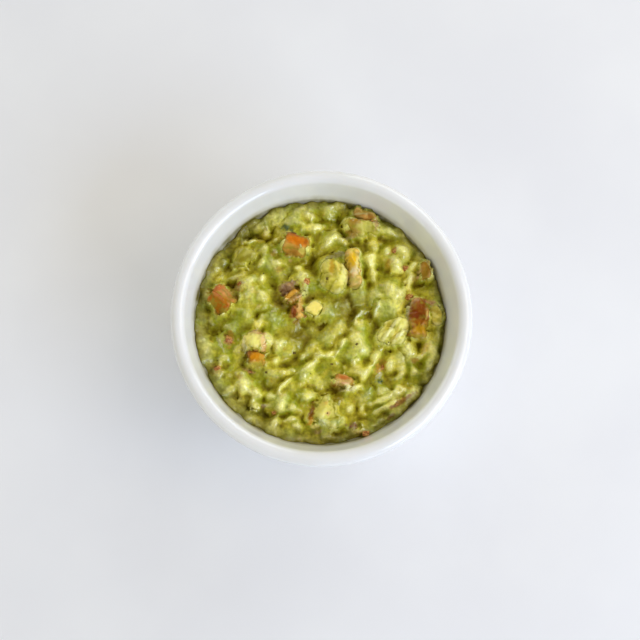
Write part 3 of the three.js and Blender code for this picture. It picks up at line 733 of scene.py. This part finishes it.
def softCells(place, size, sharp, uneven):
    # rounded tops of uneven height that meet in creases, and a shade for each top; the factors of
    # the middles only pick a number for each
    gaps, middles = noise.voronoi(place / size)
    total, shade = 0.0, 0.0
    for gap, middle in zip(gaps, middles):
        weight = math.exp(sharp * (uneven * noise.cell(middle * 9.7) - gap * gap))
        total += weight
        shade += weight * noise.cell(middle * 5.3)
    return math.log(total) / sharp, shade / total


def curdHeight(x, y):
    size, shift = mash["warp"]
    flat = Vector((x, y, 0))
    flat += noise.noise_vector(flat / size) * shift
    flat.z = 0
    height, shade = 0.0, 0.0
    patch = smoothStep(-0.5, 0.4, noise.noise(flat / mash["patch"]))
    for cellSize, rise, sharp, uneven, left, tone in mash["curds"]:
        top, cellShade = softCells(flat, cellSize, sharp, uneven)
        height += rise * (left + (1 - left) * patch) * top
        shade += cellShade * tone
    fineSize, fineRise = mash["fine"]
    return height + fineRise * noise.noise(flat / fineSize), shade


def foldHeight(x, y, fold):
    rise, gentle, steep, points = fold
    (left, front), (right, back) = map(min, zip(*points)), map(max, zip(*points))
    room = 3 * gentle + 1
    if not (left - room < x < right + room and front - room < y < back + room):
        return 0.0
    size, shift = mash["foldBend"]
    here = Vector((x, y)) + noise.noise_vector(Vector((x, y, 0)) / size).xy * shift
    best, side = 99.0, 0.0
    for start, end in zip(points, points[1:]):
        start, end = Vector(start), Vector(end)
        along = end - start
        share = min(1.0, max(0.0, (here - start).dot(along) / along.length_squared))
        away = here - (start + along * share)
        if away.length < best:
            best = away.length
            side = along.x * away.y - along.y * away.x
    if best > 3 * gentle:
        return 0.0
    if side < 0:
        return rise * bump(best, gentle)
    depth, place, width = mash["foldTrough"]
    return rise * bump(best, steep) - depth * rise * bump(best - place, width)


def makeMoundGrid():
    reach = fillRadius + 0.3
    count = int(2 * reach / mash["cell"])
    bpy.ops.object.select_all(action="DESELECT")
    bpy.ops.mesh.primitive_grid_add(x_subdivisions=count, y_subdivisions=count, size=2 * reach * mm,
                                    location=(0, 0, edgeLevel * mm))
    mound = nameActive("chunkyMash")
    applyPlace()
    bpy.ops.object.mode_set(mode="EDIT")
    bpy.ops.mesh.select_all(action="DESELECT")
    bpy.ops.object.mode_set(mode="OBJECT")
    for face in mound.data.polygons:
        face.select = face.center.xy.length > fillRadius * mm
    bpy.ops.object.mode_set(mode="EDIT")
    bpy.ops.mesh.delete(type="FACE")
    bpy.ops.object.mode_set(mode="OBJECT")
    return mound


def layLumps(points, heights, shades):
    # adds the placed lumps; tiles make it quick to find the points near each
    tile, tiles = mash["tile"], {}
    for index, point in enumerate(points):
        tiles.setdefault((int(point.co.x / mm // tile), int(point.co.y / mm // tile)), []).append(index)
    low, add = mash["lumpRise"]
    for x, y, length, width, bearing, lift, tone in placedLumps:
        turn = math.radians(bearing)
        ahead = Vector((math.cos(turn), math.sin(turn)))
        across = Vector((-math.sin(turn), math.cos(turn)))
        reach = int(length // tile) + 1
        column, row = int(x // tile), int(y // tile)
        nearby = [index for i in range(column - reach, column + reach + 1)
                  for j in range(row - reach, row + reach + 1) for index in tiles.get((i, j), ())]
        for index in nearby:
            away = points[index].co.xy / mm - Vector((x, y))
            bent = mash["lumpBend"] * noise.noise(Vector((away.x / 2, away.y / 2, x)))
            q = math.hypot(away.dot(ahead) * 2 / length, away.dot(across) * 2 / width) * (1 + bent)
            if q > 2:
                continue
            share = 1 - smoothStep(*mash["lumpEdge"], q)
            heights[index] += (low + add * lift - mash["lumpCalm"] * heights[index]) * share
            shades[index] += (tone - shades[index]) * share


def raiseMound(mound, pieces):
    points = mound.data.vertices
    heights, shades, smears = [], [], []
    calm, calmBand = mash["wallCalm"]
    deep, wide, spacing = mash["wallCrevice"]
    for point in points:
        x, y = point.co.x / mm, point.co.y / mm
        rise, shade = curdHeight(x, y)
        reach = math.hypot(x, y)
        smear = wallSmear(x, y) * smoothStep(fillRadius - mash["wallBand"], fillRadius - 0.2, reach)
        gap = smoothStep(-0.2, 0.3, noise.noise(Vector((x, y, 0)) / spacing + Vector((0, 0, 7))))
        smear -= deep * gap * smoothStep(fillRadius - wide, fillRadius - 0.4, reach)
        heights.append(mash["level"] + rise)
        smears.append(smear)
        shades.append(shade)
    layLumps(points, heights, shades)
    for index, point in enumerate(points):
        x, y = point.co.x / mm, point.co.y / mm
        for fold in folds:
            heights[index] += foldHeight(x, y, fold)
        level = calm * smoothStep(fillRadius - calmBand, fillRadius - 0.3, math.hypot(x, y))
        heap = swellHeight(x, y)
        heights[index] = heights[index] * (1 - level) + heap + smears[index]
        # painted light and shade from the swells: paler on heaps, darker in dips
        shades[index] += mash["swellTone"] * heap
        point.co.z = (domeHeight(x, y) + heights[index]) * mm
    lapped = [0.0] * len(points)
    for node, piece in pieces.items():
        for index, share in lapOver(mound, piece, mash["laps"].get(node, mash["lap"])).items():
            lapped[index] = max(lapped[index], share)
            shades[index] += (mash["lapTone"] - shades[index]) * share
    writeAttribute(mound, "lapped", lapped)
    writeAttribute(mound, "lumpTone", shades)


def lapOver(mound, piece, reach):
    # sinks the mash under a piece, draws it up round its sides and over its edges here and there;
    # returns how strongly each point was drawn
    tree = surfaceOf(piece)
    room, down = mash["lapRoom"] * mm, Vector((0, 0, -1))
    xs = [point.co.x for point in piece.data.vertices]
    ys = [point.co.y for point in piece.data.vertices]
    left, right, front, back = min(xs) - room, max(xs) + room, min(ys) - room, max(ys) + room
    near = [point for point in mound.data.vertices
            if left < point.co.x < right and front < point.co.y < back]
    tops = [tree.ray_cast(Vector((point.co.x, point.co.y, 0.06)), down)[0] for point in near]
    covered, bare = KDTree(len(near)), KDTree(len(near))
    for index, (point, top) in enumerate(zip(near, tops)):
        (bare if top is None else covered).insert(Vector((point.co.x, point.co.y, 0)), index)
    covered.balance()
    bare.balance()
    size, mean, swing = mash["lapWander"]
    below, slope = mash["lapSide"]
    under, lift = mash["lapTop"]
    ease = mash["lapEase"]
    drawn = {}
    for point, top in zip(near, tops):
        flat = Vector((point.co.x, point.co.y, 0))
        overlap = reach * (mean + swing * noise.noise(flat / (size * mm)))
        cover = smoothStep(-ease, ease, overlap)
        if top is None:  # beside the piece: drawn up towards its top
            _, index, away = covered.find(flat)
            if index is None:
                continue
            target = tops[index].z + (below * cover - below) * mm
            share = bump(away, (slope + slope * cover) * mm)
            point.co.z += max(0.0, target - point.co.z) * share
            drawn[point.index] = share
        else:  # under it, or just over its edge
            away = bare.find(flat)[2]
            over = cover * (1 - smoothStep(overlap - ease, overlap + ease, away / mm))
            point.co.z = top.z + (lift * over - under) * mm
            drawn[point.index] = 1.0
    return drawn


def paintStains(thing):
    # lays stains and dabs over one another; alpha is how much of them shows
    tile, tiles = 2, {}
    for x, y, length, width, bearing, tint, strength in stains + dabs:
        turn = math.radians(bearing)
        dab = (Vector((x, y)), Vector((math.cos(turn), math.sin(turn))) * 2 / length,
               Vector((-math.sin(turn), math.cos(turn))) * 2 / width,
               Vector(colour(tint)[:3]), strength)
        for i in range(int((x - length) // tile), int((x + length) // tile) + 1):
            for j in range(int((y - length) // tile), int((y + length) // tile) + 1):
                tiles.setdefault((i, j), []).append(dab)
    swing, size = mash["dabRagged"]
    values = []
    for point in thing.data.vertices:
        here = point.co.xy / mm
        mixed, cover = Vector((0, 0, 0)), 0.0
        for middle, ahead, across, tint, strength in tiles.get((here.x // tile, here.y // tile), ()):
            away = here - middle
            ragged = 1 + swing * noise.noise(Vector((here.x / size, here.y / size, 3)))
            q = math.hypot(away.dot(ahead), away.dot(across)) * ragged
            share = strength * (1 - smoothStep(*mash["dabEdge"], q))
            mixed = mixed * (1 - share) + tint * share
            cover += (1 - cover) * share
        values.extend((*(mixed / cover if cover > 0 else mixed), cover))
    writeAttribute(thing, "stain", values, "FLOAT_COLOR")


def fitToWall(mesh):
    # draws the mash's edge out to the bowl's wall at whatever height it has reached
    for point in mesh.vertices:
        radius = point.co.xy.length / mm
        share = smoothStep(fillRadius - 4, fillRadius - 0.4, radius)
        wall = insideRadius(point.co.z / mm) - mash["wallGap"]
        fitted = min(radius + (wall - fillRadius + 0.35) * share, wall)
        point.co.xy *= fitted / max(radius, 0.001)


def closeBelow(mound):
    # below its top the mash fills the bowl, plainly
    chooseOnly(mound)
    bpy.ops.object.mode_set(mode="EDIT")
    bpy.ops.mesh.select_all(action="DESELECT")
    bpy.ops.mesh.select_mode(type="EDGE")
    bpy.ops.mesh.select_non_manifold(extend=False, use_wire=False, use_boundary=True,
                                     use_multi_face=False, use_non_contiguous=False, use_verts=False)
    bpy.ops.mesh.extrude_edges_move(TRANSFORM_OT_translate={"value": (0, 0, 0)})
    down, gap = mash["skirt"]
    top, floorHeight = edgeLevel - down, dish["floorHeight"]
    height, radius, narrower = top, fillRadius, insideRadius(top) - gap
    bpy.ops.transform.resize(value=(narrower / radius, narrower / radius, 0),
                             center_override=(0, 0, height * mm))
    radius = narrower
    for share in (0.75, 0.5, 0.25, 0.1, 0.02):
        lower = floorHeight + (top - floorHeight) * share
        narrower = insideRadius(lower) - gap
        bpy.ops.mesh.extrude_edges_move(TRANSFORM_OT_translate={"value": (0, 0, (lower - height) * mm)})
        bpy.ops.transform.resize(value=(narrower / radius, narrower / radius, 1),
                                 center_override=(0, 0, lower * mm))
        height, radius = lower, narrower
    bpy.ops.mesh.edge_face_add()
    bpy.ops.object.mode_set(mode="OBJECT")
    editAll((bpy.ops.mesh.normals_make_consistent, {"inside": False}))


def softCopy(thing, repeats):
    # where each point would lie if the surface were smoothed that many times
    chooseOnly(thing)
    bpy.ops.object.duplicate()
    soft = bpy.context.active_object
    finishWith(soft, ("SMOOTH", {"factor": 0.9, "iterations": repeats}))
    places = [point.co.copy() for point in soft.data.vertices]
    bpy.data.objects.remove(soft)
    return places


def paintMash(mound):
    # how far each point stands out from its near and from its wider surroundings, which the colours
    # turn into painted highlights and painted shade, and how far it is from the wall for the width of
    # the band of painted shade there
    points = mound.data.vertices
    lapped = [item.value for item in mound.data.attributes["lapped"].data]
    band, swing, widest = mash["edgeBand"]
    gaps = [insideRadius(point.co.z / mm) - point.co.xy.length / mm for point in points]
    for name, repeats, calm, margin, heap in mash["standing"]:
        values = []
        for point, soft, share, gap in zip(points, softCopy(mound, repeats), lapped, gaps):
            value = (point.co.z - soft.z) / mm * (1 - calm * share) * smoothStep(0.0, margin, gap)
            values.append(value + heap * swellHeight(*point.co.xy / mm))
        writeAttribute(mound, name, values)
    shares = []
    for point, gap in zip(points, gaps):
        turn = math.atan2(point.co.y, point.co.x) - math.radians(widest)
        shares.append(gap / (band + swing * math.cos(turn)))
    writeAttribute(mound, "fromWall", shares)


def makeMash(pieces):
    mound = makeMoundGrid()
    raiseMound(mound, pieces)
    fitToWall(mound.data)
    closeBelow(mound)
    paintMash(mound)
    paintStains(mound)
    chooseOnly(mound)
    bpy.ops.object.shade_smooth()
    mound.data.materials.clear()
    mound.data.materials.append(mashedAvocado())
    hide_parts("guacamole")
    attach(mound, "root")
    tops = [point.co.z / mm for point in mound.data.vertices]
    print("mash:", len(mound.data.polygons), "faces, top", round(max(tops), 2))
    return mound


def layDabs(tree, base):
    stain = addNode(tree, "ShaderNodeAttribute", {"attribute_name": "stain"})
    return layOver(tree, base, stain.outputs["Color"], stain.outputs["Alpha"])


def mashedAvocado():
    # avocado flesh crushed with a fork: translucent, oily and wet. Yellow lumps stand in a greener
    # paste; hollows are painted deep olive as shade and hold no shine, crests are painted pale as
    # highlight and glisten
    material, tree = newMaterial("mashedAvocado")

    def layAll(base, layers):
        for layer in layers:
            base = layOver(tree, base, *layer)
        return base

    def combine(operation, first, second):
        inputs = {0: first, 1: second}
        return addNode(tree, "ShaderNodeMath", {"operation": operation}, inputs).outputs["Value"]

    paste, *pasteLayers = mash["paste"]
    lump, *lumpLayers = mash["lump"]
    paste, lump = layAll(paste, pasteLayers), layAll(lump, lumpLayers)
    base = layOver(tree, paste, lump, *mash["lumps"])
    # specks, then painted highlights on knolls and crests, then the stains and dabs
    base = layDabs(tree, layAll(base, mash["crests"]))
    # painted shade in the hollows
    base = layAll(base, mash["hollows"])
    for cloud in mash["clouds"]:
        base = layOver(tree, base, readPattern(tree, *cloud), 1.0, mode="MULTIPLY")
    # painted shade along the wall, lighter where the mash stands high
    wallShadeTint, ragged, fade, high = mash["band"]
    reach = combine("ADD", readPattern(tree, "fromWall"), readPattern(tree, *ragged))
    band = combine("MULTIPLY", readPattern(tree, reach, *fade), readPattern(tree, *high))
    base = layOver(tree, base, wallShadeTint, band)
    onCrests, inward = mash["glisten"]
    film = combine("MULTIPLY", readPattern(tree, *onCrests), readPattern(tree, reach, *inward))
    fine = relief(tree, 0.8, 0.2, (0.6, 3))
    closeMaterial(tree, {
        "Base Color": base, "Roughness": readPattern(tree, *mash["wetness"]), "IOR": 1.45,
        "Specular IOR Level": 0.1, "Normal": fine,
        "Coat Weight": film, "Coat Roughness": 0.06, "Coat Normal": fine,
        "Coat IOR": 2.0,  # higher than oil's, so that the lumps glint as thick oil does
        "Subsurface Weight": 0.25, "Subsurface Scale": 0.6 * mm,
        "Subsurface Radius": (1.0, 0.85, 0.25)})
    return material


# larger pieces: each starts from a copy of its solid in model.glb, so it lies where that solid lies
cuts = {
    # size of the remesh; size, height, sharpness and unevenness of the lumps; size and shift of the
    # bends
    "tomato_dice": (0.24, (1.9, 0.6, 9, 0.5), (3.0, 0.7)),
    "avocado_lump": (0.26, (3.2, 1.4, 8, 0.6), (3.4, 0.9)),
    "tomato_skin": (0.18, (1.2, 0.9, 9, 0.5), (1.8, 1.2)),
    "fine": (0.7, 0.08),
    "sink": 0.2,
    # where a piece bends more or less than its kind does, and how far it swells, in millimetres
    "bend": {"tomato_dice_1": 0.25, "tomato_dice_2": 0.6, "tomato_dice_3": 1.4, "tomato_dice_4": 1.0,
             "tomato_dice_7": 0.9, "avocado_lump_1": 0.6, "avocado_lump_5": 1.6,
             "avocado_lump_7": 1.6},
    "swell": {"tomato_dice_2": 0.1, "tomato_dice_3": 0.7, "tomato_dice_4": 0.1, "tomato_dice_7": 0.8,
              "avocado_lump_1": 0.9, "avocado_lump_2": 0.5},
    "otherSwell": 0.3,
    "smear": (0.1, 0.8, 0.5, 1.2),  # where the mash's smear thins out; swing and size of its edge
    "sides": (-0.25, 0.15),  # turn towards the far side over which one colour becomes the other
    "crestSmooth": 12,
    # each piece: colour of its far and of its near side
    "tints": {
        "tomato_dice_1": ("CC7C1C", "CA9038"),
        "tomato_dice_2": ("CC8444", "B86A14"),
        "tomato_dice_3": ("8A4610", "86460C"),
        "tomato_dice_4": ("C8821A", "B8781C"),
        "tomato_dice_5": ("CC8A40", "B88438"),
        "tomato_dice_6": ("C0A050", "A8843C"),
        "tomato_dice_7": ("F0CE50", "E8C66A"),
        "tomato_dice_8": ("9A7A20", "A07A30"),
        "tomato_skin_1": ("7A5A30", "946A30"),
        "tomato_skin_2": ("8A4A14", "C48C3E"),
        "avocado_lump_1": ("D6CA58", "CCC04C"),
        "avocado_lump_2": ("E2DA76", "DCD46A"),
        "avocado_lump_3": ("E0D070", "D8C868"),
        "avocado_lump_4": ("EED870", "E8D868"),
        "avocado_lump_5": ("D8CE64", "D0CA60"),
        "avocado_lump_6": ("C8B848", "BCAC40"),
        "avocado_lump_7": ("C0B454", "BCB24C"),
        "avocado_lump_8": ("A49C38", "989030"),
    },
}

# the flesh of each kind: colours of the mash smeared on it, of the painted highlight on its crests and
# of the painted shade in its hollows, how bright it is, the size of its grain in millimetres (0 for
# none) and what the shader is given
flesh = {
    # all kinds: how the colour clouds, where crests are painted pale as highlight and hollows painted
    # dark as shade, and where it is wet
    "cloud": ((1.8, 2), 0.35, 0.65, 0.85, 1.12),
    "crest": ("crest", 0.02, 0.3, 0.0, 0.5),
    "hollow": ("crest", -0.35, 0.0, 0.6, 0.0),
    "film": ("crest", 0.0, 0.25),
    # ripe tomato cut by hand: wet orange flesh with painted shade in its hollows, its foot smeared with
    # mash
    "cutTomato": (("A08C2C", "E8B058", "703406"), 1.0, 0.9, {
        "Roughness": 0.35, "IOR": 1.38, "Specular IOR Level": 0.05,
        "Coat Roughness": 0.08, "Coat IOR": 1.5, "Subsurface Weight": 0.12,
        "Subsurface Scale": 0.8 * mm, "Subsurface Radius": (1.0, 0.5, 0.2)}),
    # a soft lump of ripe avocado that escaped the fork: buttery yellow, its foot greener with mash and
    # its hollows painted a darker, greener olive as shade
    "softAvocado": (("9C961E", "F4EE9C", "7A680C"), 1.17, 0.8, {
        "Roughness": 0.38, "IOR": 1.45, "Specular IOR Level": 0.1,
        "Coat Roughness": 0.07, "Coat IOR": 1.6, "Subsurface Weight": 0.25,
        "Subsurface Scale": 0.6 * mm, "Subsurface Radius": (1.0, 0.85, 0.25)}),
    # thin tomato skin, browned and translucent: dark red-brown, with a painted highlight making its
    # crests lighter, shiny when wet
    "tomatoPeel": (("9A8434", "E0B060", "6A3C10"), 1.1, 0, {
        "Roughness": 0.3, "IOR": 1.42, "Specular IOR Level": 0.1,
        "Coat Roughness": 0.06, "Coat IOR": 1.5, "Subsurface Weight": 0.1,
        "Subsurface Scale": 0.6 * mm, "Subsurface Radius": (1.0, 0.5, 0.2)}),
}


def copyOfNode(node, name):
    chooseOnly(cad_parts[node])
    bpy.ops.object.duplicate()
    piece = nameActive(name)
    editAll((bpy.ops.mesh.remove_doubles, {"threshold": 0.02 * mm}))
    piece.data.materials.clear()
    return piece


def shapePiece(node):
    kind, _, number = node.rpartition("_")
    voxel, (size, rise, sharp, uneven), (bendSize, bendShift) = cuts[kind]
    bendShift = cuts["bend"].get(node, bendShift)
    swell = cuts["swell"].get(node, cuts["otherSwell"])
    fineSize, fineRise = cuts["fine"]
    part, _, sort = kind.partition("_")
    piece = copyOfNode(node, part + sort.title() + number)
    finishWith(piece, ("REMESH", {"mode": "VOXEL", "voxel_size": voxel * mm}),
               ("SMOOTH", {"factor": 0.5, "iterations": 4}))
    moves = []
    for point in piece.data.vertices:
        place, normal = point.co / mm, point.normal
        lumps, fine = softCells(place, size, sharp, uneven)[0], noise.noise(place / fineSize)
        push = rise * lumps + fineRise * fine + swell
        ridges = sum(foldHeight(place.x, place.y, fold) for fold in folds)
        move = normal * push + noise.noise_vector(place / bendSize) * bendShift
        move.z += ridges * smoothStep(0.0, 0.5, normal.z) - cuts["sink"]
        moves.append(move * mm)
    for point, move in zip(piece.data.vertices, moves):
        point.co += move
    finishWith(piece, ("SMOOTH", {"factor": 0.4, "iterations": 1}))
    bpy.ops.object.shade_smooth()
    return piece


def shapePieces():
    nodes = [node for node in sorted(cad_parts) if node.rpartition("_")[0] in cuts]
    return {node: shapePiece(node) for node in nodes}


def paintPiece(piece, node, mashSurface):
    # colour by side, how thickly the mash is smeared on, and how far each point stands out
    far, near = (Vector(colour(tint)[:3]) for tint in cuts["tints"][node])
    low, high, swing, size = cuts["smear"]
    tints, smears, crests = [], [], []
    for point, soft in zip(piece.data.vertices, softCopy(piece, cuts["crestSmooth"])):
        share = smoothStep(*cuts["sides"], point.normal.y)
        tints.extend((*(near + (far - near) * share), 1))
        distance = mashSurface.find_nearest(point.co)[3] / mm
        ragged = swing * noise.noise(point.co / (size * mm))
        smears.append(1 - smoothStep(low, high, distance + ragged))
        crests.append((point.co - soft).dot(point.normal) / mm)
    writeAttribute(piece, "tint", tints, "FLOAT_COLOR")
    writeAttribute(piece, "smear", smears)
    writeAttribute(piece, "crest", crests)
    paintStains(piece)


def fleshMaterial(name):
    # the piece's own colour, the mash smeared on it, its dabs, a painted highlight on its crests and
    # painted shade in its hollows
    (paste, pale, hollow), glow, grain, inputs = flesh[name]
    material, tree = newMaterial(name)
    base = addNode(tree, "ShaderNodeAttribute", {"attribute_name": "tint"}).outputs["Color"]
    base = layOver(tree, base, readPattern(tree, *flesh["cloud"]), 1.0, mode="MULTIPLY")
    base = layDabs(tree, layOver(tree, base, paste, "smear"))
    base = layOver(tree, base, (glow, glow, glow, 1.0), 1.0, mode="MULTIPLY")
    # painted highlight on the crests, then painted shade in the hollows
    base = layOver(tree, base, pale, *flesh["crest"])
    base = layOver(tree, base, hollow, *flesh["hollow"])
    inputs = {**inputs, "Base Color": base, "Coat Weight": readPattern(tree, *flesh["film"])}
    if grain:
        inputs["Normal"] = inputs["Coat Normal"] = relief(tree, 0.8, 0.2, (grain, 3))
    closeMaterial(tree, inputs)
    return material


def finishPieces(pieces, mound):
    mashSurface = surfaceOf(mound)
    kinds = {"tomato_dice": (fleshMaterial("cutTomato"), "tomato"),
             "avocado_lump": (fleshMaterial("softAvocado"), "avocado"),
             "tomato_skin": (fleshMaterial("tomatoPeel"), "tomato_skin")}
    for node, piece in pieces.items():
        material, slot = kinds[node.rpartition("_")[0]]
        paintPiece(piece, node, mashSurface)
        piece.data.materials.append(material)
        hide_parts(node)
        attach(piece, "root")
    print("pieces:", len(pieces))


# small bits on top, each kind modelled once, then laid where it shows and at random between
layout = {"seed": 11, "margin": 2, "sink": 0.15, "thickest": 1.3}
bits = {
    # material: name, dark and light colour, size of its grain, roughness and wetness. shape: its
    # proportions, and the thickness of a flake. more: how many are laid at random, their least and
    # greatest length. places: place, length and bearing
    "pepper": {  # crushed peppercorn: dull flakes, dark olive-brown under the film of oil
        "material": ("crushedPepper", "5A4C18", "80702A", 0.4, 0.7, 0.0),
        "shape": (1, 0.8, 0.5), "more": (14, 0.25, 0.4),
        "places": (
            (18.3, 16.8, 0.9, 20), (-18.7, 15.2, 0.8, 70), (-8.6, -11.0, 1.0, 0),
            (11.2, -8.6, 0.8, 40), (3.3, -14.6, 0.8, 0), (1.8, 12.3, 0.9, 80), (8.8, 10.8, 0.9, 30),
            (-17.5, -17.2, 0.8, 0), (-5.4, 8.9, 0.6, 0), (-4.9, 7.7, 0.5, 40), (-5.9, 7.2, 0.5, 0),
            (1.9, -30.6, 0.6, 0),
        ),
    },
    "herb": {  # chopped leaf: thin blue-green flecks, wet
        "material": ("choppedHerb", "34513C", "4F6E48", 0.6, 0.4, 0.5),
        "shape": (1, 0.6, 1), "thickness": 0.1, "more": (8, 0.4, 0.8),
        "places": (
            (-11.6, 30.6, 2.0, -35), (-10.0, 29.4, 1.5, -60), (18.7, -19.9, 1.8, 30),
            (-22.4, 15.8, 0.9, 20), (13.8, -11.2, 0.8, 70),
        ),
    },
    "tomato": {  # torn tomato flesh: small soft orange-brown crumbs
        "material": ("tornTomato", "A4622A", "D09A50", 0.7, 0.4, 0.4),
        "shape": (1, 0.75, 0.55), "more": (2, 0.4, 0.6), "slot": "tomato",
        "places": (
            (28.2, 7.3, 2.4, 60), (19.5, -15.5, 1.6, 62), (16.8, 32.3, 1.3, -30),
            (14.0, -36.6, 2.0, 0), (-4.6, 12.0, 2.0, -20), (-33.0, -16.0, 1.9, 30),
            (27.2, 17.0, 1.7, 80), (-15.0, -30.0, 1.4, 0), (-29.4, -6.5, 2.6, 80),
            (-26.4, 11.6, 1.6, 20), (23.6, 22.4, 1.4, 60),
        ),
    },
    "onion": {  # minced onion: pale slivers that let light through
        "material": ("mincedOnion", "B0AA5C", "C8C280", 0.8, 0.4, 0.4),
        "shape": (1, 0.35, 0.35), "more": (10, 0.6, 1.3),
        "places": (
            (18.3, -18.0, 2.4, 50), (-24.2, -9.8, 2.2, 85), (-32.5, -7.6, 2.6, -62),
            (27.6, 2.6, 2.4, 86), (-15.2, 2.2, 1.6, 10), (5.6, -27.2, 1.8, 70),
        ),
    },
    "peel": {  # shreds of tomato skin: thin, dark and curled
        "material": ("shreddedPeel", "845026", "BC8A4C", 0.8, 0.35, 0.5),
        "shape": (1, 0.32, 1), "thickness": 0.14, "more": (5, 0.5, 0.9), "slot": "tomato_skin",
        "places": (
            (-23.4, -16.6, 3.6, -20), (24.6, -26.9, 5.2, 34), (21.6, -31.2, 2.6, 34),
            (-13.4, 5.2, 2.4, 20), (10.0, -34.0, 2.4, 20), (-18.4, -28.0, 1.7, 20),
        ),
    },
}


def makePattern(name, how):
    # a torn crumb or a curled flake, one millimetre long
    bpy.ops.object.select_all(action="DESELECT")
    wrinkle = bpy.data.textures.new(name, "CLOUDS")
    resize = (bpy.ops.transform.resize, {"value": how["shape"]})
    subdivide = (bpy.ops.mesh.subdivide, {"number_cuts": 2})
    thickness = how.get("thickness")
    if thickness is None:
        bpy.ops.mesh.primitive_cube_add(size=mm, location=(0, 0, 0))
        pattern = nameActive(name)
        bevel = (bpy.ops.mesh.bevel, {"offset": 0.12 * mm, "segments": 2, "affect": "EDGES"})
        editAll(resize, bevel, subdivide)
        wrinkle.noise_scale = 0.35 * mm
        finishWith(pattern, ("DISPLACE", {"texture": wrinkle, "strength": 0.3 * mm}),
                   ("SMOOTH", {"factor": 0.5, "iterations": 2}))
    else:
        bpy.ops.mesh.primitive_circle_add(vertices=11, radius=0.5 * mm, fill_type="TRIFAN",
                                          location=(0, 0, 0))
        pattern = nameActive(name)
        editAll(resize, subdivide)
        wrinkle.noise_scale = 0.45 * mm
        finishWith(pattern, ("DISPLACE", {"texture": wrinkle, "strength": 0.5 * mm, "direction": "Z"}),
                   ("SOLIDIFY", {"thickness": thickness * mm, "offset": 0}),
                   ("SUBSURF", {"levels": 1}))
    return pattern


def bitMaterial(name, dark, light, size, rough, coat):
    material, tree = newMaterial(name)
    closeMaterial(tree, {
        "Base Color": layOver(tree, dark, light, (size, 2), 0.4, 0.6), "Roughness": rough,
        "Specular IOR Level": 0.2, "Coat Weight": coat, "Coat Roughness": 0.08,
        "Subsurface Weight": 0.1, "Subsurface Scale": 0.4 * mm})
    return material


def layBits(kind, surface, chance):
    how = bits[kind]
    count, least, most = how["more"]
    places = list(how["places"])
    while len(places) < len(how["places"]) + count:
        x, y = (chance.uniform(-fillRadius, fillRadius) for _ in range(2))
        if math.hypot(x, y) < fillRadius - layout["margin"]:
            places.append((x, y, chance.uniform(least, most), chance.uniform(0, 180)))
    pattern = makePattern(kind + "Pattern", how)
    copies = []
    for x, y, length, bearing in places:
        hit, normal, _, _ = surface.ray_cast(Vector((x, y, 60)) * mm, Vector((0, 0, -1)))
        copy = newObject(pattern.name, pattern.data.copy())
        turn = Matrix.Rotation(math.radians(bearing), 3, "Z")
        tilt = Vector((0, 0, 1)).rotation_difference(normal).to_matrix()
        stretch = (length, length * chance.uniform(0.8, 1.2), min(length, layout["thickest"]))
        hit -= normal * min(length, 1.0) * layout["sink"] * mm
        copy.matrix_world = Matrix.Translation(hit) @ (tilt @ turn @ Matrix.Diagonal(stretch)).to_4x4()
        copies.append(copy)
    chooseOnly(*copies)
    applyPlace()
    bpy.data.objects.remove(pattern)
    chooseOnly(*copies)
    bpy.ops.object.join()
    thing = nameActive(kind + "Bits")
    thing.data.materials.append(bitMaterial(*how["material"]))
    bpy.ops.object.shade_smooth()
    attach(thing, "root")
    return thing


def makeBits(things):
    surface = surfaceOf(*things)
    chance = random.Random(layout["seed"])
    made = [layBits(kind, surface, chance) for kind in bits]
    print("bits:", sum(len(thing.data.polygons) for thing in made), "faces")


makeCamera()
makeRoom()
print("camera and room ready")
makeBowl()
print("bowl ready")
pieces = shapePieces()
mound = makeMash(pieces)
finishPieces(pieces, mound)
makeBits([mound, *pieces.values()])
